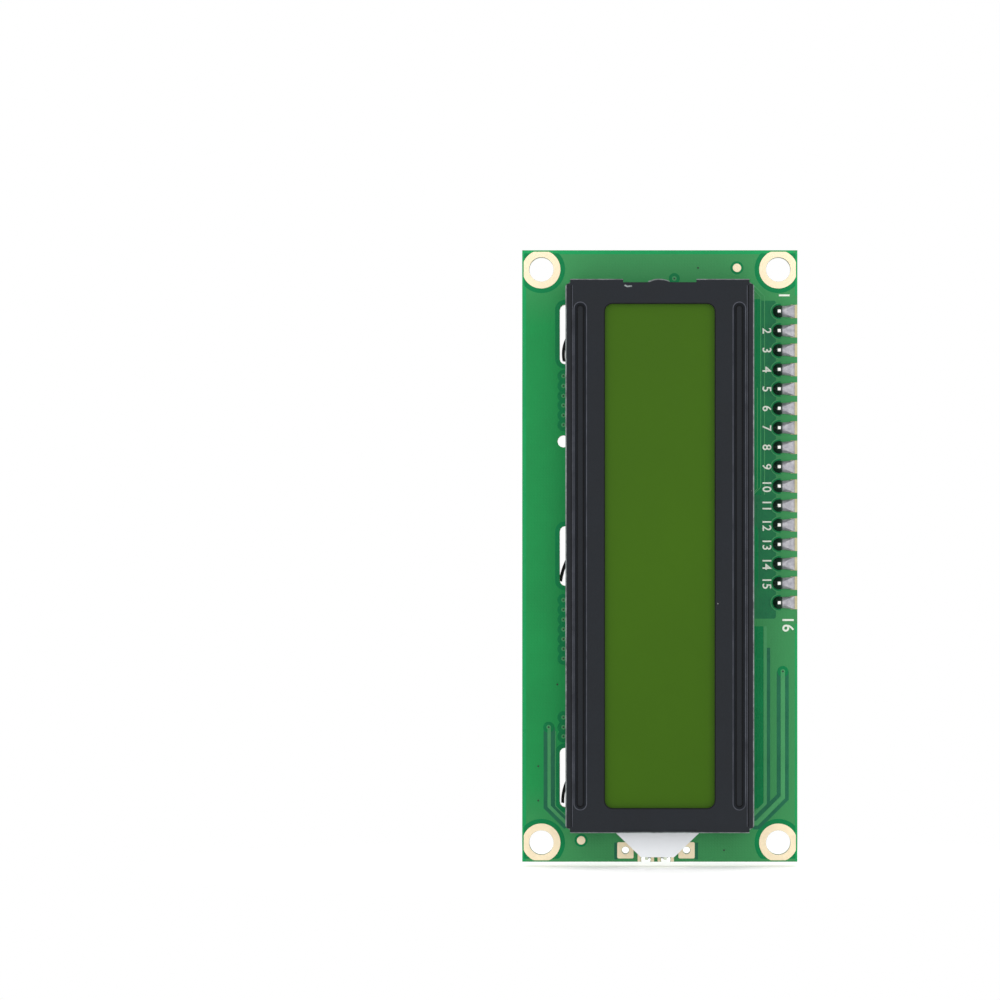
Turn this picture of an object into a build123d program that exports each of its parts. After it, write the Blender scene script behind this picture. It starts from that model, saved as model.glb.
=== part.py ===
from build123d import *
from math import cos, radians, sin
import os

# Character display module, two lines of sixteen, with a serial adapter board on its back.
# Millimetres. X runs across the module, Z runs up it, and Y runs from the viewer to the back.
# The origin is the centre of the four mounting holes, on the front face of the main board.

os.makedirs("parts", exist_ok=True)

# Main board
board_width = 36.0
board_height = 80.0
board_thickness = 1.6
mount_pitch_x = 31.0
mount_pitch_z = 75.0
mount_hole_radius = 1.6
tab_pitch = 29.0
tab_rows = (-tab_pitch, 0.0, tab_pitch)
slot_length = 7.8
left_slot_x = -12.4
left_slot_width = 1.4
right_slot_x = 11.5
right_slot_width = 1.6
locating_holes = ((-12.6, 15.0), (11.5, -14.9))
locating_hole_radius = 0.8
lamp_pad_places = ((-4.5, -38.5), (3.5, -38.5))
lamp_pad_hole_radius = 0.48
notch_places = ((-1.83, -39.75), (0.78, -39.75))
notch_radius = 0.65

# Small holes are drilled round, and are drawn here in short straight steps
hole_sides = 12
pin_hole_sides = 8

# Header between the boards
pin_pitch = 2.54
pin_count = 16
pin_size = 0.64
header_x = 15.6
first_pin_z = 32.0
pin_hole_radius = 0.5
board_gap = 2.5
lobe_clip = 0.45

# Bezel: one folded sheet
bezel_width = 24.2
bezel_height = 71.4
bezel_depth = 7.2
sheet = 0.4
fold_radius = 0.55
corner_relief = 0.5
end_inset = 0.3
end_inset_width = 9.5
end_bump_radius = 3.1
window_width = 14.2
window_height = 65.2
window_corner = 1.0
channel_x = 10.28
channel_length = 65.6
channel_width = 1.56
channel_floor = 0.84
channel_depth = 0.35
ridge_margin = 0.25
tongue_length = 1.8
lock_length = 7.0
lock_height = 2.0
lock_clearance = 0.15
lock_turns_and_curls = ((30.0, 16.0), (30.0, 11.0), (34.0, 23.0))

# Display cell, light plate and contact strips, from the front to the back
cell_length = 69.4
front_glass_width = 22.8
rear_glass_width = 18.4
glass_thickness = 1.1
polarizer_thickness = 0.2
polarizer_width = 16.0
polarizer_length = 67.0
diffuser_thickness = 0.15
reflector_thickness = 0.2
strip_width = 1.9
strip_length = 67.0
strip_x = 10.4
tail_x = -0.29
tail_top_half = 6.8
tail_end_half = 2.16
tail_end_z = -39.2
tail_thickness = 3.0
lamp_size = (3.2, 2.0, 2.2)
lamp_leg_places = (-1.75, 0.7)
lamp_leg_size = (0.4, 0.3)
leg_reach = 0.32

# Drops of epoxy over the two chips on the back: X, Z, radius, height
controller_drop = (-0.5, 12.9, 6.4, 1.7)
driver_drop = (0.45, -13.3, 5.25, 1.6)

# Adapter board
adapter_left = -1.84
adapter_right = 16.83
adapter_bottom = -7.67
adapter_top = 33.8
adapter_thickness = 1.6

# Expander chip
chip_x = 7.68
chip_z = 13.1
chip_size = (10.3, 7.5)
chip_height = 2.25
chip_standoff = 0.1
chip_draft = 8.0
lead_pitch = 1.27
leads_per_side = 8
lead_width = 0.42
lead_thickness = 0.25
lead_reach = 1.4

# Trimmer
trimmer_x = 8.9
trimmer_z = 24.53
trimmer_size = (7.2, 7.1)
trimmer_height = 4.9
trimmer_foot = 0.3
rotor_radius = 1.5
rotor_height = 1.1
rotor_gap = 0.1
rotor_slot = 0.63
rotor_slot_depth = 0.55
stem_radius = 0.8
stem_length = 1.6
trimmer_leg_radius = 0.25
trimmer_leg_places = ((-2.54, -1.2), (2.54, -1.2), (0.0, 2.2))

# Bent-pin headers on the adapter
serial_pins = (3.73, 6.27, 8.81, 11.35)
serial_z = 32.65
serial_tip_z = 40.47
jumper_pins = (7.15, 9.69)
jumper_z = -6.65
jumper_tip_z = -12.4
bent_pin_y = 8.9
bend_radius = 0.8
pin_below_adapter = 0.9

# Jumper cap
cap_size = (4.9, 6.0, 2.5)
cap_mouth_z = -8.0
cap_wall = 0.5
cap_cavity_height = 0.9
cap_notch_width = 1.6
cap_notch_z = -11.95
cap_notch_tip_z = -11.35
cap_groove_places = (-13.3, -12.35)
cap_groove = 0.16
clip_sheet = 0.2

# Small chips: length, width, height of the body and length of an end
small_chip = (2.0, 1.25, 0.5)
large_chip = (3.2, 1.6, 0.6)
chip_end = 0.4
end_proud = 0.05

# Depths, all along Y
board_back = board_thickness
adapter_front = board_back + board_gap
adapter_back = adapter_front + adapter_thickness
sheet_back = -bezel_depth + sheet
front_glass_front = sheet_back + channel_depth
front_glass_back = front_glass_front + glass_thickness
rear_glass_back = front_glass_back + glass_thickness
rear_polarizer_back = rear_glass_back + polarizer_thickness
light_plate_front = rear_polarizer_back + diffuser_thickness
light_plate_back = -reflector_thickness

# Places that follow from the dimensions above
pin_rows = [first_pin_z - pin_pitch * row for row in range(pin_count)]
slot_places = [(left_slot_x, z, left_slot_width) for z in tab_rows]
slot_places += [(right_slot_x, z, right_slot_width) for z in tab_rows]
adapter_x = (adapter_left + adapter_right) / 2
adapter_z = (adapter_bottom + adapter_top) / 2
adapter_width = adapter_right - adapter_left
adapter_height = adapter_top - adapter_bottom
jumper_x = sum(jumper_pins) / 2


def at_depth(y):
    """The drawing plane at depth y as the viewer sees it: X to the right, Z up."""
    return Plane.XZ.offset(-y)


# Main board with its holes, tab slots and the two notches that the lamp's legs pass through
with BuildPart() as main_board:
    with BuildSketch(at_depth(board_back)):
        Rectangle(board_width, board_height)
        with GridLocations(mount_pitch_x, mount_pitch_z, 2, 2):
            Circle(mount_hole_radius, mode=Mode.SUBTRACT)
        for slot_x, slot_z, slot_width in slot_places:
            end_spacing = slot_length - slot_width
            with Locations((slot_x, slot_z)):
                Rectangle(slot_width, end_spacing, mode=Mode.SUBTRACT)
                with GridLocations(0, end_spacing, 1, 2):
                    RegularPolygon(slot_width / 2, hole_sides, mode=Mode.SUBTRACT)
        with Locations(*locating_holes):
            RegularPolygon(locating_hole_radius, hole_sides, mode=Mode.SUBTRACT)
        with Locations(*lamp_pad_places):
            RegularPolygon(lamp_pad_hole_radius, hole_sides, mode=Mode.SUBTRACT)
        with Locations(*notch_places):
            RegularPolygon(notch_radius, hole_sides, mode=Mode.SUBTRACT)
        with Locations(*[(header_x, z) for z in pin_rows]):
            RegularPolygon(pin_hole_radius, pin_hole_sides, mode=Mode.SUBTRACT)
    extrude(amount=board_thickness)
main_board.part.label = "main_board"
export_step(main_board.part, "parts/main_board.step")


# Bezel, folded from one sheet. Its outline steps in at the corners and along the ends.
with BuildSketch() as bezel_outline:
    Rectangle(bezel_width, bezel_height)
    with GridLocations(bezel_width, bezel_height, 2, 2):
        Rectangle(2 * corner_relief, 2 * corner_relief, mode=Mode.SUBTRACT)
    with GridLocations(0, bezel_height, 1, 2):
        Rectangle(end_inset_width, 2 * end_inset, mode=Mode.SUBTRACT)
    with GridLocations(0, bezel_height - 2 * end_bump_radius, 1, 2):
        Circle(end_bump_radius)


def lock_head(pivot_x, pivot_z, turn, curl, side):
    """Section of a tab's head: a strip of sheet on edge, turned about the pivot and curled along an arc."""
    with BuildSketch(at_depth(board_back + lock_height)) as section:
        with BuildLine():
            edges = []
            for skin in (-sheet / 2, sheet / 2):
                points = []
                for along in (-1.0, 0.0, 1.0):
                    angle = radians(turn + curl * along)
                    x = along * lock_length / 2 * sin(angle) + skin * cos(angle)
                    z = along * lock_length / 2 * cos(angle) - skin * sin(angle)
                    points.append((pivot_x + side * x, pivot_z + side * z))
                edges.append(ThreePointArc(*points))
            Line(edges[0] @ 0, edges[1] @ 0)
            Line(edges[0] @ 1, edges[1] @ 1)
        make_face()
    return section.sketch


with BuildPart() as bezel:
    with BuildSketch(at_depth(0)):
        Rectangle(bezel_width, bezel_height)
    extrude(amount=bezel_depth)
    fillet(bezel.edges().filter_by(Axis.Z).group_by(Axis.Y)[0], fold_radius)
    with BuildSketch(at_depth(0)):
        add(bezel_outline.sketch)
    extrude(amount=bezel_depth, mode=Mode.INTERSECT)
    with BuildSketch(at_depth(0)):
        offset(bezel_outline.sketch, amount=-sheet, kind=Kind.INTERSECTION)
    extrude(amount=bezel_depth - sheet, mode=Mode.SUBTRACT)
    # Each pressed channel stands out as a ridge on the inner face
    for side in (-1, 1):
        for depth, narrowing in ((0.0, 0.0), (channel_depth, channel_width - channel_floor)):
            with BuildSketch(at_depth(sheet_back + depth)):
                with Locations((side * channel_x, 0)):
                    Rectangle(channel_width + 2 * ridge_margin - narrowing,
                              channel_length + 2 * ridge_margin - narrowing)
        loft()
    for side in (-1, 1):
        for depth, narrowing in ((0.0, 0.0), (channel_depth, channel_width - channel_floor)):
            with BuildSketch(at_depth(depth - bezel_depth)):
                with Locations((side * channel_x, 0)):
                    SlotOverall(channel_length - narrowing, channel_width - narrowing, rotation=90)
        loft(mode=Mode.SUBTRACT)
    with BuildSketch(at_depth(0)):
        RectangleRounded(window_width, window_height, window_corner)
    extrude(amount=bezel_depth, mode=Mode.SUBTRACT)
    # The tail of the light plate leaves through the lower end wall
    with BuildSketch(at_depth(0)):
        with Locations((tail_x, -bezel_height / 2)):
            Rectangle(2 * tail_top_half + 0.4, 3.0)
    extrude(amount=tail_thickness + reflector_thickness + 0.2, mode=Mode.SUBTRACT)
    # Six tongues go through the board's slots. Behind the board each head is turned to lock.
    with BuildSketch(at_depth(board_back + lock_clearance)):
        with GridLocations(bezel_width - sheet, tab_pitch, 2, 3):
            Rectangle(sheet, tongue_length)
    extrude(amount=board_thickness + lock_clearance)
    for side in (1, -1):
        pivot_x = -side * (bezel_width - sheet) / 2
        for pivot_z, (turn, curl) in zip(tab_rows, lock_turns_and_curls):
            extrude(lock_head(pivot_x, pivot_z, turn, curl, side), amount=lock_height - lock_clearance)
bezel.part.label = "bezel"
export_step(bezel.part, "parts/bezel.step")


# Display cell: two polarizers and two panes
def plate(name, width, length, front, back):
    """A flat sheet of the cell, centred on the module, from one depth to another."""
    with BuildPart() as sheet_part:
        with BuildSketch(at_depth(back)):
            Rectangle(width, length)
        extrude(amount=back - front)
    sheet_part.part.label = name
    export_step(sheet_part.part, f"parts/{name}.step")


plate("front_polarizer", polarizer_width, polarizer_length,
      front_glass_front - polarizer_thickness, front_glass_front)
plate("front_glass", front_glass_width, cell_length, front_glass_front, front_glass_back)
plate("rear_glass", rear_glass_width, cell_length, front_glass_back, rear_glass_back)
plate("rear_polarizer", rear_glass_width, cell_length, rear_glass_back, rear_polarizer_back)
plate("diffuser_film", rear_glass_width, cell_length, rear_polarizer_back, light_plate_front)
plate("reflector_film", rear_glass_width, cell_length, light_plate_back, 0)


# Light plate: a flat moulding whose tail comes out under the bezel and holds the lamp
lamp_z = tail_end_z + lamp_size[1] / 2
lamp_y = light_plate_back - tail_thickness / 2
with BuildPart() as light_plate:
    with BuildSketch(at_depth(light_plate_back)):
        Rectangle(rear_glass_width, cell_length)
    extrude(amount=light_plate_back - light_plate_front)
    with BuildSketch(at_depth(light_plate_back)):
        with BuildLine():
            Polyline((tail_x - tail_top_half, -cell_length / 2), (tail_x - tail_end_half, tail_end_z),
                     (tail_x + tail_end_half, tail_end_z), (tail_x + tail_top_half, -cell_length / 2),
                     close=True)
        make_face()
    extrude(amount=tail_thickness)
    with Locations((tail_x, lamp_y, lamp_z)):
        Box(lamp_size[0], lamp_size[2], lamp_size[1], mode=Mode.SUBTRACT)
light_plate.part.label = "light_plate"
export_step(light_plate.part, "parts/light_plate.step")


# Lamp in the tail, with two legs that bend down through the notches of the board
with BuildPart() as backlight_lamp:
    with Locations((tail_x, lamp_y, lamp_z)):
        Box(lamp_size[0], lamp_size[2], lamp_size[1])
    for leg_x in lamp_leg_places:
        with BuildLine() as leg_path:
            FilletPolyline((leg_x, lamp_y, tail_end_z), (leg_x, lamp_y, tail_end_z - leg_reach),
                           (leg_x, board_back + 0.45, tail_end_z - leg_reach), radius=0.16)
        with BuildSketch(Plane(origin=leg_path.line @ 0, z_dir=leg_path.line % 0, x_dir=(1, 0, 0))):
            Rectangle(*lamp_leg_size)
        sweep(path=leg_path.line)
backlight_lamp.part.label = "backlight_lamp"
export_step(backlight_lamp.part, "parts/backlight_lamp.step")


# Contact strips of layered rubber, pressed between the front pane and the board
for name, side in (("left_contact_strip", -1), ("right_contact_strip", 1)):
    with BuildPart() as contact_strip:
        with BuildSketch(at_depth(0)):
            with Locations((side * strip_x, 0)):
                Rectangle(strip_width, strip_length)
        extrude(amount=-front_glass_back)
    contact_strip.part.label = name
    export_step(contact_strip.part, f"parts/{name}.step")


# Epoxy drops over the bare chips: low domes, cut in two slopes from a many-sided disc
drop_sides = 24
drop_slopes = ((0.5, 0.9), (0.25, 0.2))
for name, drop in (("controller_drop", controller_drop), ("driver_drop", driver_drop)):
    drop_x, drop_z, drop_radius, drop_height = drop
    with BuildPart() as epoxy_drop:
        with BuildSketch(Plane(origin=(drop_x, board_back, drop_z), x_dir=(-1, 0, 0), z_dir=(0, 1, 0))):
            RegularPolygon(drop_radius, drop_sides)
        extrude(amount=drop_height)
        for inset, fall in drop_slopes:
            top = epoxy_drop.faces().sort_by(Axis.Y)[-1]
            chamfer(top.edges(), inset * drop_radius, fall * drop_height, reference=top)
    epoxy_drop.part.label = name
    export_step(epoxy_drop.part, f"parts/{name}.step")


# Plastic of the headers: one lobe with clipped corners for each pin, and a square hole through it
lobe_half = pin_pitch / 2
lobe_flat = lobe_half - lobe_clip
lobe_corners = ((-lobe_half, -lobe_flat), (-lobe_flat, -lobe_half), (lobe_flat, -lobe_half),
                (lobe_half, -lobe_flat), (lobe_half, lobe_flat), (lobe_flat, lobe_half),
                (-lobe_flat, lobe_half), (-lobe_half, lobe_flat))
header_blocks = {
    "header_strip": ([(header_x, z) for z in pin_rows], adapter_front, board_gap),
    "serial_header_block": ([(x, serial_z) for x in serial_pins], adapter_back + pin_pitch, pin_pitch),
    "jumper_header_block": ([(x, jumper_z) for x in jumper_pins], adapter_back + pin_pitch, pin_pitch),
}
for name, (places, block_back, block_height) in header_blocks.items():
    with BuildPart() as header_block:
        with BuildSketch(at_depth(block_back)):
            with Locations(*places):
                Polygon(*lobe_corners)
            with Locations(*places):
                Rectangle(pin_size, pin_size, mode=Mode.SUBTRACT)
        extrude(amount=block_height)
    header_block.part.label = name
    export_step(header_block.part, f"parts/{name}.step")


# Straight pins that join the two boards
header_tip_front = -1.0
header_tip_back = adapter_back + 1.2
with BuildPart() as header_pins:
    with BuildSketch(at_depth(header_tip_back)):
        with Locations(*[(header_x, z) for z in pin_rows]):
            Rectangle(pin_size, pin_size)
    extrude(amount=header_tip_back - header_tip_front)
header_pins.part.label = "header_pins"
export_step(header_pins.part, "parts/header_pins.step")


# Bent pins: up from the adapter, through the plastic, then over towards the module's end
bent_pin_sets = {
    "serial_header_pins": (serial_pins, serial_z, serial_tip_z),
    "jumper_header_pins": (jumper_pins, jumper_z, jumper_tip_z),
}
for name, (pin_places, foot_z, tip_z) in bent_pin_sets.items():
    with BuildPart() as bent_pins:
        for pin_x in pin_places:
            foot = (pin_x, adapter_front - pin_below_adapter, foot_z)
            with BuildLine() as pin_path:
                FilletPolyline(foot, (pin_x, bent_pin_y, foot_z), (pin_x, bent_pin_y, tip_z),
                               radius=bend_radius)
            with BuildSketch(Plane(origin=foot, x_dir=(1, 0, 0), z_dir=(0, 1, 0))):
                Rectangle(pin_size, pin_size)
            sweep(path=pin_path.line)
    bent_pins.part.label = name
    export_step(bent_pins.part, f"parts/{name}.step")


# Adapter board with the holes of everything that is soldered through it
with BuildPart() as adapter_board:
    with BuildSketch(at_depth(adapter_back)):
        with Locations((adapter_x, adapter_z)):
            Rectangle(adapter_width, adapter_height)
        pin_holes = [(header_x, z) for z in pin_rows]
        pin_holes += [(x, serial_z) for x in serial_pins]
        pin_holes += [(x, jumper_z) for x in jumper_pins]
        with Locations(*pin_holes):
            RegularPolygon(pin_hole_radius, pin_hole_sides, mode=Mode.SUBTRACT)
        with Locations(*[(trimmer_x + x, trimmer_z + z) for x, z in trimmer_leg_places]):
            RegularPolygon(trimmer_leg_radius + 0.1, pin_hole_sides, mode=Mode.SUBTRACT)
    extrude(amount=adapter_thickness)
adapter_board.part.label = "adapter_board"
export_step(adapter_board.part, "parts/adapter_board.step")


# Solder of the header. On the display side it wets a long pad and rises to the pin as a cone.
joint_left = 14.85
joint_right = 17.65
joint_width = 1.7
joint_film = 0.15
joint_height = 0.85
joint_wall = 0.1
joint_slope = 0.4
joint_sides = 8


def solder_cone(plane, radius):
    """An eight-sided cone of solder with a low wall at its foot, rising from the plane."""
    with BuildPart() as cone:
        with BuildSketch(plane):
            RegularPolygon(radius, joint_sides)
        extrude(amount=joint_height)
        tip = cone.faces().sort_by(Axis(plane.origin, plane.z_dir))[-1]
        chamfer(tip.edges(), joint_slope, joint_height - joint_wall, reference=tip)
    return cone.part


display_cone = solder_cone(Plane.XZ, joint_width / 2 - 0.05)
adapter_cone = solder_cone(Plane(origin=(0, 0, 0), x_dir=(-1, 0, 0), z_dir=(0, 1, 0)), joint_width / 2)

with BuildPart() as display_solder_joints:
    with BuildSketch(at_depth(0)):
        for joint_z in pin_rows:
            with Locations(((joint_left + joint_right) / 2, joint_z)):
                Rectangle(joint_right - joint_left, joint_width)
    extrude(amount=joint_film)
    with Locations(*[(header_x, 0, z) for z in pin_rows]):
        add(display_cone)
    with Locations(*[(header_x, 0, z) for z in pin_rows]):
        Box(pin_size, 4 * joint_height, pin_size, mode=Mode.SUBTRACT)
display_solder_joints.part.label = "display_solder_joints"
export_step(display_solder_joints.part, "parts/display_solder_joints.step")

with BuildPart() as adapter_solder_joints:
    with Locations(*[(header_x, adapter_back, z) for z in pin_rows]):
        add(adapter_cone)
    with Locations(*[(header_x, adapter_back, z) for z in pin_rows]):
        Box(pin_size, 4 * joint_height, pin_size, mode=Mode.SUBTRACT)
adapter_solder_joints.part.label = "adapter_solder_joints"
export_step(adapter_solder_joints.part, "parts/adapter_solder_joints.step")


# Expander chip: a moulded body with a parting band and drafted faces
band_y = adapter_back + chip_standoff + chip_height / 2
band_half = lead_thickness / 2
with BuildPart() as expander_chip:
    with BuildSketch(at_depth(band_y + band_half)):
        with Locations((chip_x, chip_z)):
            Rectangle(*chip_size)
    extrude(amount=lead_thickness)
    for face_y, direction in ((band_y - band_half, 1), (band_y + band_half, -1)):
        with BuildSketch(Plane(origin=(0, face_y, 0), x_dir=(direction, 0, 0), z_dir=(0, -direction, 0))):
            with Locations((direction * chip_x, chip_z)):
                Rectangle(*chip_size)
        extrude(amount=chip_height / 2 - band_half, taper=chip_draft)
expander_chip.part.label = "expander_chip"
export_step(expander_chip.part, "parts/expander_chip.step")


# Expander leads: each runs out of the parting band, bends down to the board and turns out to a foot
shoulder = 0.5
heel = 0.8
bend = 0.15
rise = band_y - adapter_back
with BuildPart() as expander_leads:
    for side in (1, -1):
        for position in range(leads_per_side):
            lead_x = chip_x + (position - (leads_per_side - 1) / 2) * lead_pitch
            body_edge = chip_z + side * chip_size[1] / 2
            lead_plane = Plane(origin=(lead_x + side * lead_width / 2, adapter_back, body_edge),
                               x_dir=(0, 0, side), z_dir=(-side, 0, 0))
            with BuildSketch(lead_plane):
                with BuildLine():
                    Polyline((0, rise + band_half), (shoulder - bend, rise + band_half),
                             (shoulder + 0.3 * bend, rise), (heel, lead_thickness),
                             (lead_reach, lead_thickness), (lead_reach, 0), (heel - lead_thickness, 0),
                             (shoulder - lead_thickness, rise - band_half), (0, rise - band_half),
                             close=True)
                make_face()
            extrude(amount=lead_width)
expander_leads.part.label = "expander_leads"
export_step(expander_leads.part, "parts/expander_leads.step")


# Trimmer: a square body on four feet, with a round well that holds the rotor and its stem
trimmer_back = adapter_back + trimmer_height
well_floor = trimmer_back - rotor_gap - rotor_height
foot_spacing = trimmer_size[0] - 1.4
with BuildPart() as trimmer_body:
    with BuildSketch(at_depth(trimmer_back)):
        with Locations((trimmer_x, trimmer_z)):
            Rectangle(*trimmer_size)
    extrude(amount=trimmer_height - trimmer_foot)
    chamfer(trimmer_body.faces().sort_by(Axis.Y)[-1].edges(), 0.15)
    with BuildSketch(at_depth(adapter_back + trimmer_foot)):
        with Locations((trimmer_x, trimmer_z)):
            with GridLocations(foot_spacing, foot_spacing, 2, 2):
                Rectangle(1.2, 1.2)
    extrude(amount=trimmer_foot)
    with BuildSketch(at_depth(trimmer_back)):
        with Locations((trimmer_x, trimmer_z)):
            Circle(rotor_radius + rotor_gap)
    extrude(amount=trimmer_back - well_floor, mode=Mode.SUBTRACT)
    with BuildSketch(at_depth(well_floor)):
        with Locations((trimmer_x, trimmer_z)):
            Circle(stem_radius + 0.05)
    extrude(amount=stem_length + 0.1, mode=Mode.SUBTRACT)
trimmer_body.part.label = "trimmer_body"
export_step(trimmer_body.part, "parts/trimmer_body.step")

rotor_face = trimmer_back - rotor_gap
with BuildPart() as trimmer_rotor:
    with BuildSketch(at_depth(rotor_face)):
        with Locations((trimmer_x, trimmer_z)):
            Circle(rotor_radius)
    extrude(amount=rotor_height)
    with BuildSketch(at_depth(well_floor)):
        with Locations((trimmer_x, trimmer_z)):
            Circle(stem_radius)
    extrude(amount=stem_length)
    with BuildSketch(at_depth(rotor_face)):
        with Locations((trimmer_x, trimmer_z)):
            Rectangle(4 * rotor_radius, rotor_slot)
            Rectangle(rotor_slot, 4 * rotor_radius)
    extrude(amount=rotor_slot_depth, mode=Mode.SUBTRACT)
trimmer_rotor.part.label = "trimmer_rotor"
export_step(trimmer_rotor.part, "parts/trimmer_rotor.step")

with BuildPart() as trimmer_legs:
    with BuildSketch(at_depth(adapter_back + trimmer_foot)):
        with Locations(*[(trimmer_x + x, trimmer_z + z) for x, z in trimmer_leg_places]):
            RegularPolygon(trimmer_leg_radius, pin_hole_sides)
    extrude(amount=trimmer_foot + adapter_thickness + pin_below_adapter)
trimmer_legs.part.label = "trimmer_legs"
export_step(trimmer_legs.part, "parts/trimmer_legs.step")


# Small chips: a ceramic body between two plated ends that stand a little proud of it
chips = {
    "adapter_resistor_1": (4.88, -0.65, "across", small_chip, adapter_back),
    "adapter_resistor_2": (4.88, 1.88, "across", small_chip, adapter_back),
    "adapter_resistor_3": (4.88, 4.49, "across", small_chip, adapter_back),
    "adapter_resistor_4": (9.85, 1.4, "across", small_chip, adapter_back),
    "adapter_resistor_5": (0.1, 3.4, "along", small_chip, adapter_back),
    "adapter_resistor_6": (0.1, 7.9, "along", small_chip, adapter_back),
    "adapter_resistor_7": (0.1, 12.37, "along", small_chip, adapter_back),
    "adapter_capacitor": (9.76, 3.95, "across", (2.0, 1.25, 0.85), adapter_back),
    "display_resistor_1": (-6.6, 30.5, "along", small_chip, board_back),
    "display_resistor_2": (-4.29, 30.5, "along", small_chip, board_back),
    "display_resistor_3": (-2.1, 30.5, "along", small_chip, board_back),
    "display_resistor_4": (-4.13, 22.7, "along", small_chip, board_back),
    "display_resistor_5": (-2.0, 22.7, "along", small_chip, board_back),
    "display_resistor_6": (12.6, -20.3, "along", large_chip, board_back),
}
for name, (chip_at_x, chip_at_z, direction, size, seat) in chips.items():
    length, width, height = size
    turn = 0 if direction == "across" else 90
    with BuildPart() as chip_part:
        with BuildSketch(at_depth(seat + height - end_proud)):
            with Locations((chip_at_x, chip_at_z)):
                Rectangle(length - 2 * end_proud, width - 2 * end_proud, rotation=turn)
        extrude(amount=height - end_proud)
        with BuildSketch(at_depth(seat + height)):
            with Locations(Location((chip_at_x, chip_at_z), turn)):
                with GridLocations(length - chip_end, 0, 2, 1):
                    Rectangle(chip_end, width)
        extrude(amount=height)
    chip_part.part.label = name
    export_step(chip_part.part, f"parts/{name}.step")


# Power lamp: a base with plated ends and a clear lens that narrows upwards
power_lamp_x = 4.57
power_lamp_z = -3.1
power_lamp_base = 0.4
power_lamp_lens = 0.45
with BuildPart() as power_lamp:
    with BuildSketch(at_depth(adapter_back + power_lamp_base)):
        with Locations((power_lamp_x, power_lamp_z)):
            Rectangle(2.0, 1.25)
    extrude(amount=power_lamp_base)
    with BuildSketch(at_depth(adapter_back + power_lamp_base)):
        with Locations((power_lamp_x, power_lamp_z)):
            Rectangle(1.3, 1.25)
    with BuildSketch(at_depth(adapter_back + power_lamp_base + power_lamp_lens)):
        with Locations((power_lamp_x, power_lamp_z)):
            Rectangle(1.1, 1.05)
    loft()
power_lamp.part.label = "power_lamp"
export_step(power_lamp.part, "parts/power_lamp.step")


# Transistor: a small moulded body with two leads on its left and one on its right
transistor_x = 9.7
transistor_z = -2.3
transistor_half = 0.7
transistor_length = 2.9
transistor_height = 1.1
transistor_leads_z = ((-1, -0.95), (-1, 0.95), (1, 0.0))
with BuildPart() as transistor:
    with BuildSketch(at_depth(adapter_back + transistor_height)):
        with Locations((transistor_x, transistor_z)):
            Rectangle(2 * transistor_half, transistor_length)
    extrude(amount=transistor_height - chip_standoff)
    chamfer(transistor.faces().sort_by(Axis.Y)[-1].edges(), 0.12)
transistor.part.label = "transistor"
export_step(transistor.part, "parts/transistor.step")

with BuildPart() as transistor_legs:
    for side, offset_z in transistor_leads_z:
        leg_plane = Plane(origin=(transistor_x + side * transistor_half, adapter_back,
                                  transistor_z + offset_z - side * 0.2),
                          x_dir=(side, 0, 0), z_dir=(0, 0, side))
        with BuildSketch(leg_plane):
            Polygon((0, 0.5), (0.3, 0.5), (0.3, 0.12), (0.65, 0.12), (0.65, 0), (0.18, 0),
                    (0.18, 0.38), (0, 0.38), align=None)
        extrude(amount=0.4)
transistor_legs.part.label = "transistor_legs"
export_step(transistor_legs.part, "parts/transistor_legs.step")


# Jumper cap: a plastic sleeve that slides over both pins, open at its mouth and notched at its end
cap_width, cap_length, cap_thickness = cap_size
cap_end_z = cap_mouth_z - cap_length
cap_centre_z = cap_mouth_z - cap_length / 2
cap_back = bent_pin_y + cap_thickness / 2
cavity_width = cap_width - 2 * cap_wall
cavity_end_z = -13.45
with BuildPart() as jumper_cap:
    with BuildSketch(at_depth(cap_back)):
        with Locations((jumper_x, cap_centre_z)):
            Rectangle(cap_width, cap_length)
    extrude(amount=cap_thickness)
    chamfer(jumper_cap.edges().filter_by(Axis.Z), 0.25)
    with BuildSketch(at_depth(cap_back)):
        for groove_z in cap_groove_places:
            with Locations((jumper_x, groove_z)):
                Rectangle(cap_width, cap_groove)
    extrude(amount=cap_groove, mode=Mode.SUBTRACT)
    with BuildSketch(at_depth(cap_back)):
        with BuildLine():
            half_notch = cap_notch_width / 2
            Polyline((jumper_x - half_notch, cap_end_z), (jumper_x - half_notch, cap_notch_z),
                     (jumper_x, cap_notch_tip_z), (jumper_x + half_notch, cap_notch_z),
                     (jumper_x + half_notch, cap_end_z), close=True)
        make_face()
    extrude(amount=cap_thickness, mode=Mode.SUBTRACT)
    with BuildSketch(at_depth(bent_pin_y + cap_cavity_height / 2)):
        with Locations((jumper_x, (cap_mouth_z + cavity_end_z) / 2)):
            Rectangle(cavity_width, cap_mouth_z - cavity_end_z)
    extrude(amount=cap_cavity_height, mode=Mode.SUBTRACT)
jumper_cap.part.label = "jumper_cap"
export_step(jumper_cap.part, "parts/jumper_cap.step")


# Jumper clip: a strap across the end of the cavity with an arm along the outside of each pin
arm_length = 4.8
with BuildPart() as jumper_clip:
    with BuildSketch(at_depth(bent_pin_y + cap_cavity_height / 2)):
        with Locations((jumper_x, cavity_end_z + 0.4)):
            Rectangle(cavity_width, 0.8)
    extrude(amount=clip_sheet)
    with BuildSketch(at_depth(bent_pin_y + cap_cavity_height / 2)):
        with Locations((jumper_x, cavity_end_z + arm_length / 2)):
            with GridLocations(cavity_width - clip_sheet, 0, 2, 1):
                Rectangle(clip_sheet, arm_length)
    extrude(amount=cap_cavity_height)
jumper_clip.part.label = "jumper_clip"
export_step(jumper_clip.part, "parts/jumper_clip.step")


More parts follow.
